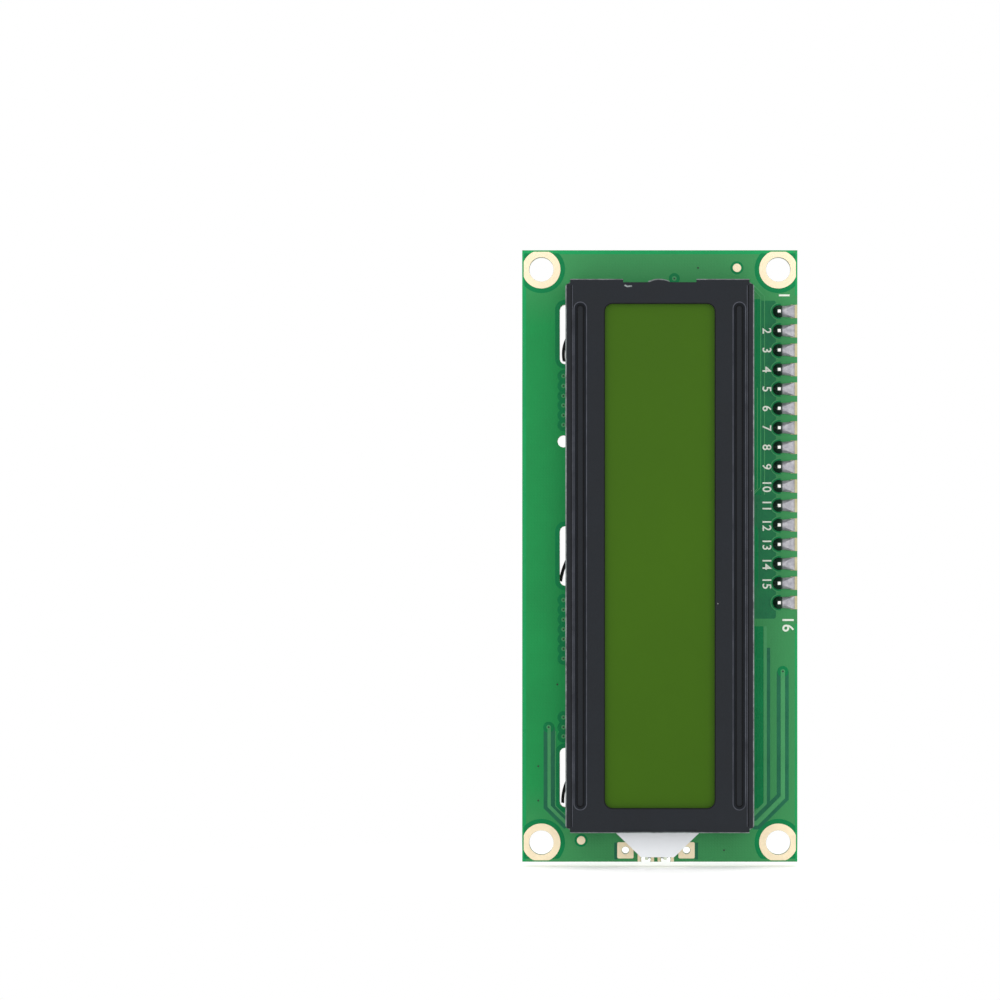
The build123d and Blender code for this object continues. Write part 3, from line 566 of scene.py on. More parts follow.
def make_finishes():
    """Every material of the module, by the record's slot or by the piece that it dresses."""
    board, parts = bpy.context.scene.display_board, bpy.context.scene.display_parts
    mask = dict(least=0.25, most=0.32, specular=0.1)
    tin = dict(least=0.25, most=0.36, metallic=0.35, patch=1.2, depth=0.008)
    # The two boards: mask, bare copper and print
    finish("board_green", shades(board.front_mask, 0.06), 0.3, 0.38, 0.1, patch=0.12, depth=0.006, weave=0.8,
           paint=paint_board)
    finish("mask_gap", shades(board.gap_mask, 0.1), **mask, patch=0.2, depth=0.006, weave=0.8)
    finish("mask_trace", shades(board.trace_mask, 0.06), **mask, patch=0.2, depth=0.004)
    finish("mask_gap_back", shades(board.back_gap, 0.1), **mask, patch=0.2, depth=0.006, weave=0.8)
    finish("mask_trace_back", shades(board.back_trace, 0.08), **mask, patch=0.2, depth=0.004)
    finish("mask_line", tones(36, 110, 78, 28, 98, 70), **mask, patch=0.3, depth=0.006)
    finish("mask_dim", tones(30, 120, 72, 26, 104, 68), **mask, patch=0.3, depth=0.006, weave=0.8)
    finish("mask_edge", shades(board.edge_mask, 0.06), **mask, patch=0.2, depth=0.004)
    # Painted shade for the inside of vias and small holes.
    finish("pit_green", tones(8, 40, 26, 4, 26, 18), 0.5, 0.6, depth=0.004)
    finish("gold", shades(board.gold, 0.05), 0.34, 0.46, metallic=0.2, patch=0.8, depth=0.008)
    finish("edge_gold", tones(196, 188, 150, 176, 166, 124), 0.4, 0.5, metallic=0.1, patch=0.9, depth=0.006)
    finish("ink", shades(board.print_ink, 0.05), 0.55, 0.7, patch=1.5)
    finish("board_black", shades(board.adapter_mask, 0.15), 0.2, 0.28, 0.25, coat=0.12, patch=0.3,
           depth=0.005, weave=0.8, specks=0.05, paint=paint_adapter)
    finish("adapter_trace", tones(40, 42, 48, 32, 34, 40), 0.2, 0.28, 0.25, coat=0.12, depth=0.004)
    # Bezel and what it holds
    finish("bezel_black", shades(parts.bezel, 0.12), 0.46, 0.56, 0.2, patch=0.15, grain=7.0, depth=0.012,
           specks=0.012)
    # Painted highlight for the bezel's folded edge, where it would catch light.
    finish("bezel_edge_highlight", tones(142, 150, 150, 90, 97, 97), 0.4, 0.5, 0.3, patch=1.1, depth=0.005)
    # Painted highlight beside the channels and creases, then painted shadow for the lines in the channels and round
    # the window.
    finish("bezel_channel_highlight", tones(76, 79, 88, 50, 52, 60), 0.4, 0.5, 0.2, depth=0.004)
    finish("bezel_shade", tones(18, 19, 22, 10, 11, 13), 0.5, 0.6, 0.1, depth=0.004)
    finish("screen_film", shades(parts.screen, 0.04), 0.3, 0.36, 0.08, patch=0.05, grain=12.0, depth=0.002)
    finish("cell_glass", tones(150, 168, 140, 140, 160, 132), 0.05, 0.08, depth=0.0005)
    finish("light_plate", shades(parts.light_plate, 0.03), 0.35, 0.45, coat=0.2, patch=0.2, depth=0.003)
    finish("white_film", tones(235, 236, 236, 226, 228, 228), 0.5, 0.6, depth=0.003)
    finish("pink_rubber", tones(206, 110, 138, 190, 92, 122), 0.6, 0.7, paint=paint_strip)
    # Resin, plastic, pins and solder. Solder is dark green-black left of a front pin, pins are painted near white as
    # a highlight and their ends are dulled by solder, the cross in the rotor has painted shade on its floor, and the
    # steep part of a lead has a painted dark reflection.
    finish("epoxy_black", tones(22, 23, 27, 14, 15, 18), 0.14, 0.22, 0.32, coat=0.1, patch=0.25, grain=3.0,
           depth=0.02, uneven=3.0, specks=0.03)
    finish("header_plastic", tones(26, 27, 31, 18, 19, 23), 0.4, 0.5)
    finish("pin_metal", tones(214, 208, 190, 190, 184, 166), 0.22, 0.34, metallic=0.9, depth=0.006)
    # Pins painted near white as a highlight; past the adapter's face they are grey, dulled by solder.
    finish("pin_painted_highlight", tones(248, 248, 244, 226, 226, 220), 0.25, 0.35, metallic=0.2, depth=0.004,
           paint=zone("Y", ADAPTER[0], inside=(150, 152, 150)))
    finish("solder", shades(parts.solder, 0.08), 0.22, 0.38, metallic=0.7, patch=1.2, grain=3.0, depth=0.02)
    # Front joints: the part left of each pin is a given dark green-black.
    finish("front_joint", tones(172, 171, 175, 126, 126, 134), 0.3, 0.42, metallic=0.3, patch=1.6, grain=2.5,
           depth=0.03, paint=zone("X", HEADER_X + 0.42, outside=(26, 46, 38), soft=0.1))
    finish("back_joint", tones(120, 122, 124, 46, 48, 50), 0.12, 0.22, metallic=0.8, patch=1.9, grain=2.0,
           depth=0.05)
    finish("adapter_pad", tones(140, 142, 144, 70, 72, 74), 0.2, 0.3, metallic=0.7, patch=1.5)
    finish("lamp_green", tones(60, 190, 130, 40, 160, 110), 0.3, 0.4, depth=0.004)
    finish("chip_black", tones(26, 27, 32, 18, 19, 23), 0.5, 0.6, 0.3, grain=12.0, depth=0.012)
    finish("lead_tin", tones(236, 238, 236, 190, 192, 190), **tin)
    finish("trimmer_blue", shades(parts.trimmer, 0.08), 0.38, 0.48, 0.3, patch=0.3)
    # The rotor's metal, with painted shade on the floor of its cross below the top.
    rotor_top = face_of("trimmer_rotor", 1)[0]
    finish("rotor_metal", tones(170, 170, 164, 140, 138, 130), 0.35, 0.5, metallic=0.5, patch=0.9,
           depth=0.015, paint=zone("Y", rotor_top - 0.12, outside=(112, 110, 108), soft=0.04))
    # Painted highlight for the adapter's pale laminate edge where it catches light.
    finish("adapter_edge_highlight", tones(160, 158, 142, 110, 106, 92), 0.5, 0.6, patch=0.8, depth=0.004)
    # Dark blue of the scale marks, and of the ring of painted shade round the rotor.
    finish("rotor_ring", tones(3, 56, 134, 1, 46, 120), 0.5, 0.6, 0.2)
    finish("resistor_black", tones(24, 24, 28, 16, 16, 20), 0.22, 0.32, depth=0.006)
    half = CAPACITOR_MIDDLE / 2
    finish("capacitor_tan", tones(186, 146, 78, 164, 124, 62), 0.4, 0.5,
           paint=zone("X", CAPACITOR_X - half, CAPACITOR_X + half, outside=(214, 204, 172), soft=0.08))
    # Leads of tin with a painted dark reflection on their steep part.
    finish("bent_lead", tones(236, 238, 236, 200, 202, 200), **tin,
           paint=zone("Y", ADAPTER[0] + 0.4, ADAPTER[0] + 1.0, inside=(96, 96, 92), soft=0.06))
    finish("lamp_clear", tones(226, 232, 214, 206, 216, 190), 0.15, 0.22, coat=0.4, depth=0.005)
    finish("clip_metal", tones(210, 214, 206, 186, 190, 182), 0.28, 0.4, metallic=0.8, depth=0.008)
    finish("pit_dark", tones(34, 30, 24, 20, 18, 14), 0.6, 0.7)


# The finish of each CAD node that stays in view
NODE_FINISHES = {
    "board_green": ("main_board",),
    "board_black": ("adapter_board",),
    "bezel_black": ("bezel",),
    "screen_film": ("front_polarizer",),
    "cell_glass": ("front_glass", "rear_glass", "rear_polarizer"),
    "white_film": ("diffuser_film", "reflector_film"),
    "light_plate": ("light_plate",),
    "pink_rubber": ("left_contact_strip", "right_contact_strip"),
    "header_plastic": ("header_strip", "serial_header_block", "jumper_header_block", "jumper_cap"),
    "chip_black": ("expander_chip", "transistor"),
    "trimmer_blue": ("trimmer_body",),
    "rotor_metal": ("trimmer_rotor",),
    "clip_metal": ("jumper_clip",),
    "lamp_clear": ("backlight_lamp",),
    "pin_metal": ("trimmer_legs",),
    "lead_tin": ("transistor_legs",),
    "solder": ("lamp_solder", "link_solder"),
}


class DISPLAY_OT_finishes(bpy.types.Operator):
    """Makes the materials and gives each CAD node its own"""
    bl_idname = "display.finishes"
    bl_label = "Finishes"

    def execute(self, context):
        make_groups()
        make_finishes()
        for finish_name, node_names in NODE_FINISHES.items():
            for node_name in node_names:
                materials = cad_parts[node_name].data.materials
                materials.clear()
                materials.append(FINISHES[finish_name])
        return {"FINISHED"}


# Pads

MARKS = {FRONT: pairs((10.1, 37.7, -10.3, -37.2)), BACK: pairs((-10.35, -36.15, 10.0, 37.7))}


def clipped_circle(x, z, radius, half_width, half_height):
    """A circle cut off where it would pass a rectangle about the board's middle."""
    outline = arc(x, z, radius, steps=64)
    return np.clip(outline, (-half_width, -half_height), (half_width, half_height))


def holed_pad(x, z, side, hole, face, height):
    """A square pad round a hole: a circle and a square joined by a strip."""
    angles = np.radians(np.arange(48) * 7.5 + 3.75)
    around = np.column_stack([np.cos(angles), np.sin(angles)])
    outer = around * (side / 2 / np.abs(around).max(axis=1, keepdims=True))
    return band(around * hole + (x, z), outer + (x, z), face, height)


def tongue(left, right, z, width, face, height):
    """A pad with a round left end and a square right end."""
    half = width / 2
    turned = arc(left + half, z, half, 90, 270, 9)
    return slab(np.concatenate([turned, [(right, z - half), (right, z + half)]]), face, height)


def back_pads(lift):
    """Pads that only the back has: beside the tab slots, and for parts left unfitted."""
    shells = []
    for row in TAB_ROWS:
        shells += [tile(-10.33, row, 2.66, 7.1, BACK, lift, 0.05), tile(9.3, row, 2.6, 7.1, BACK, lift, 0.05)]
    shells += [tile(x, z, 1.4, 1.5, BACK, lift, 0.05) for x in (-6.3, -2.8) for z in (-31.3, -29.0)]
    shells += [tile(-6.27, z, 1.1, 0.9, BACK, lift, 0.05) for z in (21.9, 24.3)]
    shells += [tile(x, z, 0.7, 2.0, BACK, lift, 0.35, 7) for x in (-0.2, 1.08, 2.34, 3.62) for z in (-32.2, -26.4)]
    shells += [ring(x, -36.1, 0.38, 1.0, BACK, lift) for x in (-1.86, 0.71)]
    return shells + [slab(arc(5.58, z, 0.85, start, start + 160, 20), BACK, lift)
                     for z in (-29.3, -26.8) for start in (100, 280)]


class DISPLAY_OT_pads(bpy.types.Operator):
    """Gold pads of both boards"""
    bl_idname = "display.pads"
    bl_label = "Pads"

    def execute(self, context):
        lift = context.scene.display_board.copper_height
        for name, face in (("front_pads", FRONT), ("back_pads", BACK)):
            shells = [band(arc(x, z, 1.61, steps=64), clipped_circle(x, z, 2.5, 17.8, 39.8), face, lift)
                      for x, z in MOUNTING_HOLES]
            shells += [holed_pad(x, -38.5, 2.13, 0.5, face, lift) for x in (-4.5, 3.5)]
            if face is BACK:
                shells += [tongue(14.65, 18.0, z, 1.9, face, lift * 0.8) for z in PIN_ROWS]
            for left, right, notch in ((-2.9, -0.75, -1.83), (-0.29, 1.84, 0.78)):
                shells += [tile((start + end) / 2, -39.2, end - start, 1.55, face, lift)
                           for start, end in ((left, notch - 0.66), (notch + 0.66, right))]
            shells += [disc(x, z, 0.55, face, lift) for x, z in MARKS[face]]
            if face is BACK:
                shells += back_pads(lift)
            build(name, shells, "gold")
        edge = [tile(17.55, z, 0.88, 1.74, FRONT, lift * 0.8, 0.03) for z in PIN_ROWS]
        build("edge_pads", edge, "edge_gold")
        return {"FINISHED"}


# Copper under the mask. It covers most of both faces and shows lighter than the laminate in the gaps.
# A row of gaps or traces holds a width and then x and z of each point, and the others hold x and z.

COLUMN_X = -12.6
COLUMN_ROWS = ((23.55, 22.25, 20.95, 19.7, 18.4, 17.15), (-5.75, -7.03, -8.31, -9.59, -10.87, -12.15, -13.43),
               (-21.1, -22.4, -23.6))
COPPER = {
    "front_gaps": (
        (0.5, -14.95, -22.4, -14.95, -32.9, -12.3, -35.55),
        (0.54, -14.0, -22.4, -14.0, -32.6, -12.2, -34.4),
        (1.4, 12.85, -9.2, 12.85, -33.0),
        (0.45, 14.22, -12.0, 14.22, -32.4, 12.2, -34.4),
        (0.5, 15.55, -15.1, 15.55, -31.3, 12.2, -34.65),
        (0.47, 16.63, -15.1, 16.63, -31.8, 12.9, -35.53, 12.2, -35.53),
        (1.1, 12.75, 33.6, 12.75, 8.0),
        (0.4, -5.75, -37.5, -5.75, -39.7),
        (0.4, 4.8, -37.5, 4.8, -39.7),
    ),
    "front_traces": (
        (0.42, -14.47, -22.4, -14.47, -32.75, -12.2, -35.0),
        (0.1, -13.63, -22.9, -13.63, -32.7, -12.2, -34.1),
        (0.4, 13.8, -9.2, 13.8, -32.35, 12.2, -33.95),
        (0.55, 16.1, -15.1, 16.1, -31.55, 12.7, -34.95, 12.2, -34.95),
        (0.1, 12.2, 35.5, 13.7, 34.0, 13.7, 8.0),
        (0.1, 12.2, 34.9, 13.2, 33.9, 13.2, 9.0, 12.2, 8.0),
        (0.1, 12.75, 22.0, 12.75, 8.8, 12.2, 8.2),
    ),
    "front_vias": (-14.54, -22.4, 16.1, -15.1, 1.9, 36.3),
    "front_dots": (-13.4, -16.8, -15.9, -27.5, -15.9, -32.0, 8.4, -38.5, 5.0, 37.7),
    "back_gaps": (
        (1.05, -16.6, -22.0, -16.6, 33.6),
        (0.6, -15.18, -22.0, -15.18, 32.4, -12.1, 35.48, -8.1, 35.48, -7.0, 34.38, 3.3, 34.38),
        (0.55, -14.08, -22.0, -14.08, 32.1, -11.75, 34.45, -8.9, 34.45, -8.3, 33.85, -8.3, 29.5),
        (0.45, -12.6, 36.35, -7.5, 36.35, -6.5, 35.35, 3.3, 35.35),
        (0.35, 4.9, -36.35, 10.2, -36.35, 12.9, -33.65, 12.9, -22.9),
        (0.35, 3.2, -35.65, 9.9, -35.65, 11.9, -33.65),
        (0.5, 0.3, -34.0, 3.8, -34.0, 5.8, -33.2, 6.4, -33.2),
        (0.5, 2.0, 36.2, 4.9, 36.2, 6.2, 34.9),
        (0.3, 7.4, -13.9, 8.3, -14.8, 8.3, -16.6, 7.8, -17.2, 7.8, -19.2, 8.4, -19.9, 8.4, -23.6, 7.2, -24.8),
        (0.25, 3.2, -20.3, 3.2, -20.95, 7.6, -20.95),
        (0.22, -9.6, -14.6, -9.6, -19.3, -11.7, -21.4),
        (0.4, 16.3, -15.1, 14.3, -13.1, 14.3, -9.0),
        (0.3, -1.0, -24.75, -7.9, -24.75, -11.4, -24.75, -12.7, -23.9),
        (0.25, -8.05, -25.0, -8.05, -30.2, -8.9, -31.0, -8.9, -33.0),
        (0.25, 13.6, -25.5, 13.6, -17.2),
        (0.22, -8.4, 28.6, -8.4, 33.0, 3.4, 33.0),
    ),
    "back_traces": (
        (0.38, -15.73, -22.0, -15.73, 32.6, -12.4, 35.93, -7.85, 35.93, -6.8, 34.88, 3.3, 34.88),
        (0.38, -14.62, -22.0, -14.62, 32.3, -11.92, 35.0, -8.5, 35.0, -7.72, 34.22, -7.72, 29.3),
        (0.3, 4.9, -36.0, 10.05, -36.0, 12.4, -33.65, 12.4, -23.2),
        (THIN_TRACE, -12.3, 5.84, -9.9, 5.84, -6.6, 9.1),
        (THIN_TRACE, -12.3, 7.07, -9.1, 7.07, -6.7, 9.5),
        (THIN_TRACE, -12.3, 8.4, -8.44, 8.4, -6.8, 10.0),
        (THIN_TRACE, -12.3, 9.53, -11.1, 9.53, -10.4, 8.83, -8.57, 8.83, -6.9, 10.5),
        (THIN_TRACE, -12.3, 17.24, -10.9, 17.24, -7.2, 13.6),
        (THIN_TRACE, -12.3, 18.5, -10.5, 18.5, -10.05, 18.05, -10.05, 16.75, -7.1, 13.9),
        (THIN_TRACE, -12.3, 19.8, -10.2, 19.8, -9.65, 19.2, -9.65, 16.95, -7.0, 14.4),
        (THIN_TRACE, -12.3, 21.07, -10.3, 21.07, -9.25, 20.0, -9.25, 17.1, -6.9, 14.8),
        (THIN_TRACE, -12.3, 22.36, -10.0, 22.36, -8.9, 21.3, -8.9, 17.3, -6.8, 15.2),
        (THIN_TRACE, -12.3, 23.6, -9.8, 23.6, -8.5, 22.3, -8.5, 17.4, -6.6, 15.5),
        (THIN_TRACE, -11.9, -13.25, -10.0, -11.4, -10.0, -8.7, -3.2, -1.9),
        (THIN_TRACE, -11.9, -12.05, -10.45, -10.6, -10.45, -8.6, -3.2, -1.35),
        (THIN_TRACE, -11.9, -10.7, -11.1, -9.9, -11.1, -8.7, -3.2, -0.8),
        (THIN_TRACE, -12.2, -9.46, -3.2, -0.45),
        (THIN_TRACE, -12.2, -8.2, -4.0, 0.0),
        (THIN_TRACE, -12.2, -6.9, -11.0, -6.9, -5.0, -0.9),
        (THIN_TRACE, -12.2, -5.65, -10.4, -5.65, -5.4, -0.65),
    ),
    "back_vias": (
        -14.6, -22.3, 7.0, -32.8, 9.8, 34.5, 8.2, 35.4, 1.95, 36.3, 16.1, -15.1, -8.7, -22.4, -7.2, -22.3,
        -7.9, -23.3, -6.4, -23.3, -5.07, -23.3, -3.6, -23.3, -5.75, -22.4, -4.3, -22.4, -2.7, -22.4,
        -2.0, -21.7, 3.6, -22.5, 5.1, -22.5, 6.6, -22.5, 4.3, -21.8, 5.8, -21.8, 7.3, -21.8, -8.78, 9.5,
        -8.35, 10.5, -7.97, 11.4, -7.64, 12.45, -8.1, 13.4, -6.9, 18.4, -5.5, 18.4, -7.64, 19.2,
        -6.26, 19.2, -4.77, 19.2, -12.6, 5.84, -12.6, 7.07, -12.6, 8.4, -12.6, 9.53),
    "back_dots": (-4.55, -33.2, -4.6, -27.7, -16.0, -31.9, -15.9, -27.5, 9.1, -36.2, 9.85, -36.8,
                  -13.4, -16.7, -8.9, 34.1, -7.7, 34.3, -8.9, 37.6, 4.9, 37.6),
}


def pin_collars(face, start, end, inner, outer, height):
    """Part of a ring left of each header pin."""
    return [band(arc(HEADER_X, z, inner, start, end, 24), arc(HEADER_X, z, outer, start, end, 24),
                 face, height, closed=False) for z in PIN_ROWS]


def chip_bundles(face, height):
    """Bundles of thin traces to the two bare chips on the back: bent, straight, round and stepped."""
    made = []
    for path, count, pitch in (((-8.1, -20.6, -8.1, -8.9, -2.0, -2.8), 9, 0.32),
                               ((7.2, -21.6, 7.2, -17.0, 5.0, -14.8), 5, 0.36),
                               ((-2.2, -2.6, -2.2, 4.0), 3, 0.3)):
        made += [ribbon(line, THIN_TRACE, face, height) for line in parallel(pairs(path), count, pitch)]
    made += [ribbon(arc(*DRIVER, 6.15 + 0.33 * place, 160, 236 + 2 * place, 20), THIN_TRACE, face,
                    height + 0.001) for place in range(3)]
    steps = [(THIN_TRACE, x, -22.6, x, -22.05 + 0.24 * place, -9.38 + 0.32 * place, -22.05 + 0.24 * place,
              -9.38 + 0.32 * place, -20.5) for place, x in enumerate((-7.9, -6.4, -5.75, -5.07, -4.3, -3.6, -2.7))]
    return made + lines(steps, face, height)


class DISPLAY_OT_copper(bpy.types.Operator):
    """Gaps, traces and vias under the mask of the main board"""
    bl_idname = "display.copper"
    bl_label = "Copper under the mask"

    def execute(self, context):
        low, middle, high = 0.01, 0.02, 0.028
        for side, face, ending in (("front", FRONT, ""), ("back", BACK, "_back")):
            vias, gaps = pairs(COPPER[side + "_vias"]), COPPER[side + "_gaps"]
            runs = list(zip(gaps, lines(gaps, face, low + 0.0003, 0.0003)))
            dark = [run for gap, run in runs if gap[0] > 1]
            dark += [band(clipped_circle(x, z, 2.3, 17.7, 39.55), clipped_circle(x, z, 3.1, 17.75, 39.6), face, low)
                     for x, z in MOUNTING_HOLES]
            dark += [band(rectangle(x, z, width + 0.06, 7.86, width / 2, 9),
                          rectangle(x, z, width + 1.2, 9.0, width / 2 + 0.6, 9), face, low)
                     for x, width in ((-12.4, 1.4), (11.5, 1.6)) for z in TAB_ROWS]
            dark += [disc(x, z, 0.72, face, low + 0.0072 + 0.0001 * place, 28)
                     for place, (x, z) in enumerate(vias)]
            dark += [scallops(COLUMN_X, rows, 0.8, face, low + 0.006) for rows in COLUMN_ROWS]
            dark += [ring(x, z, 0.5, 0.85, face, low + 0.0065, 28) for x, z in MARKS[face]]
            places = list(vias) + [(COLUMN_X, row) for rows in COLUMN_ROWS for row in rows]
            light = lines(COPPER[side + "_traces"], face, middle, 0.0005)
            light += [disc(x, z, 0.3, face, high, 20) for x, z in places]
            if face is FRONT:
                dark += pin_collars(face, 75, 285, 0.8, 1.02, low + 0.009)
                light += pin_collars(face, 95, 265, 1.02, 1.12, middle + 0.002)
            else:
                light += chip_bundles(face, middle)
            build(side + "_gaps", dark, "mask_gap" + ending)
            build(side + "_gap_lines", [run for gap, run in runs if gap[0] <= 1],
                  "mask_gap_back" if face is BACK else "mask_line")
            build(side + "_traces", light, "mask_trace" + ending)
            edges = [tile(x, z, width, height, face, lift) for x, z, width, height, lift in (
                (-17.75, 0, 0.5, 79.9, 0.005), (0, 39.74, 35.0, 0.5, 0.006),
                (17.85, 37.0, 0.3, 5.8, 0.007), (17.85, -24.4, 0.3, 31.0, 0.007))]
            build(side + "_edges", edges, "mask_edge")
            if face is FRONT:
                build("label_strip", [tile(13.7, 12.6, 3.0, 41.6, face, 0.004, 0.3)], "mask_dim")
            # Dark discs in the vias and small holes: painted shade inside the holes.
            pits = [disc(x, z, 0.12, face, high + 0.006, 14) for x, z in places + list(pairs(COPPER[side + "_dots"]))]
            build(side + "_via_pits", pits, "pit_green")
        return {"FINISHED"}


# Print

def plus(x, z, arm, line, face, height):
    """A plus sign of two crossed bars."""
    return [tile(x, z, arm, line, face, height), tile(x, z, line, arm, face, height + 0.002)]


def box_line(x, z, width, height, gap, side):
    """Path round a rectangle that leaves a gap in the middle of one side: t(op), b(ottom) or l(eft)."""
    left, right, low, high = x - width / 2, x + width / 2, z - height / 2, z + height / 2
    if side == "l":
        return [(left, z + gap / 2), (left, high), (right, high), (right, low), (left, low), (left, z - gap / 2)]
    level, other = (low, high) if side == "t" else (high, low)
    return [(x + gap / 2, level), (right, level), (right, other), (left, other), (left, level), (x - gap / 2, level)]


def bracket_pair(x, z, width, length, gap):
    """Paths of two brackets that face each other along Z."""
    left, right = x - width / 2, x + width / 2
    return [[(left, z + side * gap / 2), (left, z + side * length / 2), (right, z + side * length / 2),
             (right, z + side * gap / 2)] for side in (-1, 1)]


ADAPTER_OUTLINES = (
    (0.3, 14.31, -7.5, 14.31, 33.45, 16.8, 33.45),
    (0.18, 2.51, 9.19, 13.07, 9.19, 13.07, 17.0, 2.51, 17.0),
    (0.25, 6.09, -5.6, 6.09, -5.12, 11.45, -5.12, 11.45, -7.55),
    (0.24, 2.31, 33.45, 2.31, 31.1, 12.99, 31.1, 12.99, 33.45),
    (0.24, 4.17, -4.22, 2.38, -4.22, 2.38, -2.19, 4.17, -2.19),
    (0.24, 4.9, -4.22, 6.8, -4.22, 7.15, -3.8, 7.28, -3.2, 7.15, -2.6, 6.8, -2.19, 4.9, -2.19),
    (0.24, 9.5, 2.87, 8.0, 2.87, 7.62, 3.35, 7.48, 3.96, 7.62, 4.57, 8.0, 5.05, 11.67, 5.05, 12.05, 4.57,
     12.19, 3.96, 12.05, 3.35, 11.67, 2.87, 10.05, 2.87),
    (0.24, 10.6, -3.5, 11.6, -3.5, 11.6, -2.9),
    (0.24, 10.6, -1.05, 11.6, -1.05, 11.6, -1.65),
)
ADDRESS_ROWS = (22.34, 24.78, 27.17)


class DISPLAY_OT_print(bpy.types.Operator):
    """White print: pin numbers, outlines of the parts and plus signs"""
    bl_idname = "display.print"
    bl_label = "White print"

    def execute(self, context):
        lift = context.scene.display_board.ink_height
        front = [numeral(str(row + 1), 1.62, 13.95, PIN_ROWS[row], -90, FRONT, lift) for row in range(1, 15)]
        front += [numeral("1", 2.0, 16.2, 34.1, -90, FRONT, lift), numeral("16", 2.1, 16.7, -8.9, -90, FRONT, lift)]
        build("front_print", front, "ink")

        back = [ring(*CONTROLLER, 6.35, 6.85, BACK, lift, 96), ring(*DRIVER, 5.2, 5.75, BACK, lift, 96)]
        back += [ring(5.62, z, 0.9, 1.18, BACK, lift, 40) for z in (-31.7, -29.2, -26.8)]
        for x in (-6.35, -2.85):
            left, right = x - 1.17, x + 1.17
            back += lines(((0.38, left, -30.5, left, -32.5, right, -32.5, right, -30.5),
                           (0.38, left, -29.7, left, -27.3), (0.38, right, -29.7, right, -27.3)), BACK, lift)
            back.append(tile(x, -27.58, 2.7, 1.0, BACK, lift + 0.002))
            back += plus(x - 0.1, -26.3, 1.4, 0.22, BACK, lift)
        notch = arc(4.25, -29.05, 0.55, 245, 115, 8)
        chip = np.concatenate([pairs((4.2, -27.75, -0.86, -27.75, -0.86, -30.35, 4.2, -30.35)), notch])
        back.append(ribbon(chip, 0.3, BACK, lift, closed=True))
        for x, z, width, length in (*((x, 30.6, 1.8, 3.15) for x in (-6.5, -4.15, -1.95)),
                                    *((x, 22.95, 1.8, 3.2) for x in (-6.28, -4.13, -1.98)), (12.6, -20.3, 2.4, 4.9)):
            back += [ribbon(path, 0.3, BACK, lift) for path in bracket_pair(x, z, width, length, 0.5)]
        for text, size, x, z in (("1", 1.9, -5.0, 26.9), ("2", 1.9, -7.5, 26.9), ("3", 1.9, -8.95, 21.0),
                                 ("4", 2.0, 7.6, -31.7), ("5", 2.0, 7.6, -29.2), ("6", 2.0, 7.6, -26.8),
                                 ("7", 2.2, 13.6, -24.8), ("8", 2.4, -7.9, -17.9), ("9", 2.4, -7.4, 7.7),
                                 ("16", 2.2, 16.6, -9.0)):
            back.append(numeral(text, size, x, z, 90, BACK, lift))
        build("back_print", back, "ink")

        boxes = [box_line(4.93, z, 4.18, 2.05, 0.5, "t") for z in (-0.63, 1.91, 4.53)]
        boxes += [box_line(9.84, 1.37, 4.11, 2.09, 0.5, "b")]
        boxes += [box_line(0.16, z, 2.19, 4.13, 0.55, "l") for z in (3.45, 7.92, 12.4)]
        adapter = lines(ADAPTER_OUTLINES, ADAPTER, lift) + [ribbon(path, 0.24, ADAPTER, lift) for path in boxes]
        adapter += [ribbon(rectangle(x, z, width, height, 0.02, 1), line, ADAPTER, lift, closed=True)
                    for x, z, width, height, line in ((8.88, TRIMMER_Z, 7.83, 7.71, 0.25),
                                                      *((1.1, z, 2.9, 1.4, 0.2) for z in ADDRESS_ROWS))]
        adapter += plus(1.5, -4.13, 1.15, 0.27, ADAPTER, lift)
        labels = [(str(place + 1), x, 29.6) for place, x in enumerate((11.4, 8.9, 6.35, 3.8))]
        labels += [(str(place), -1.0, z) for place, z in enumerate(ADDRESS_ROWS)]
        adapter += [numeral(text, 1.5, x, z, 90, ADAPTER, lift) for text, x, z in labels]
        build("adapter_print", adapter, "ink")
        return {"FINISHED"}


class DISPLAY_OT_adapter_copper(bpy.types.Operator):
    """Thin traces, the address pads and a painted highlight line just inside the adapter's edge"""
    bl_idname = "display.adapter_copper"
    bl_label = "Adapter copper"

    def execute(self, context):
        thin = [(3.0, 20.2, 3.0, 22.3, 2.75, 22.6), (3.75, 20.2, 3.75, 21.6, 2.8, 22.6),
                (4.3, 20.2, 4.3, 23.8, 2.8, 25.3), (1.9, -6.6, 1.9, -5.6, -0.9, -2.8, -0.9, 1.0),
                (12.6, -3.0, 13.9, -4.3), (12.2, -1.6, 13.9, -3.3), (13.6, 6.0, 13.6, 8.0, 12.9, 8.7),
                (3.6, 28.0, -0.6, 28.9, -0.6, 31.0, 1.2, 32.6)]
        thin += [(x, 19.6, x, 20.2, x + 1.0, 20.9) for x in (12.4, 11.9, 11.4, 10.9)]
        thin += [(1.6 - step, 14.9, 1.6 - step, 19.6 - step, -0.7, 21.9 - 2 * step)
                 for step in (0.0, 0.45, 0.9, 1.35)]
        low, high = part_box("adapter_board")
        middle, span = (low + high) / 2 / MM, (high - low) / MM
        # A pale line just inside the outline: painted highlight where the laminate edge catches light.
        edge_highlight_outline = rectangle(middle.x, middle.z, span.x - 0.12, span.z - 0.12)
        build("adapter_edge_highlight_line", [ribbon(edge_highlight_outline, 0.1, ADAPTER, 0.01, closed=True)], "adapter_edge_highlight")
        build("adapter_traces", lines([(0.16, *path) for path in thin], ADAPTER, 0.012), "adapter_trace")
        pads = [tile(x, z, 0.85, 0.8, ADAPTER, 0.035, 0.08) for x in (0.24, 1.68) for z in ADDRESS_ROWS]
        build("address_pads", pads, "lead_tin")
        return {"FINISHED"}


# Bezel

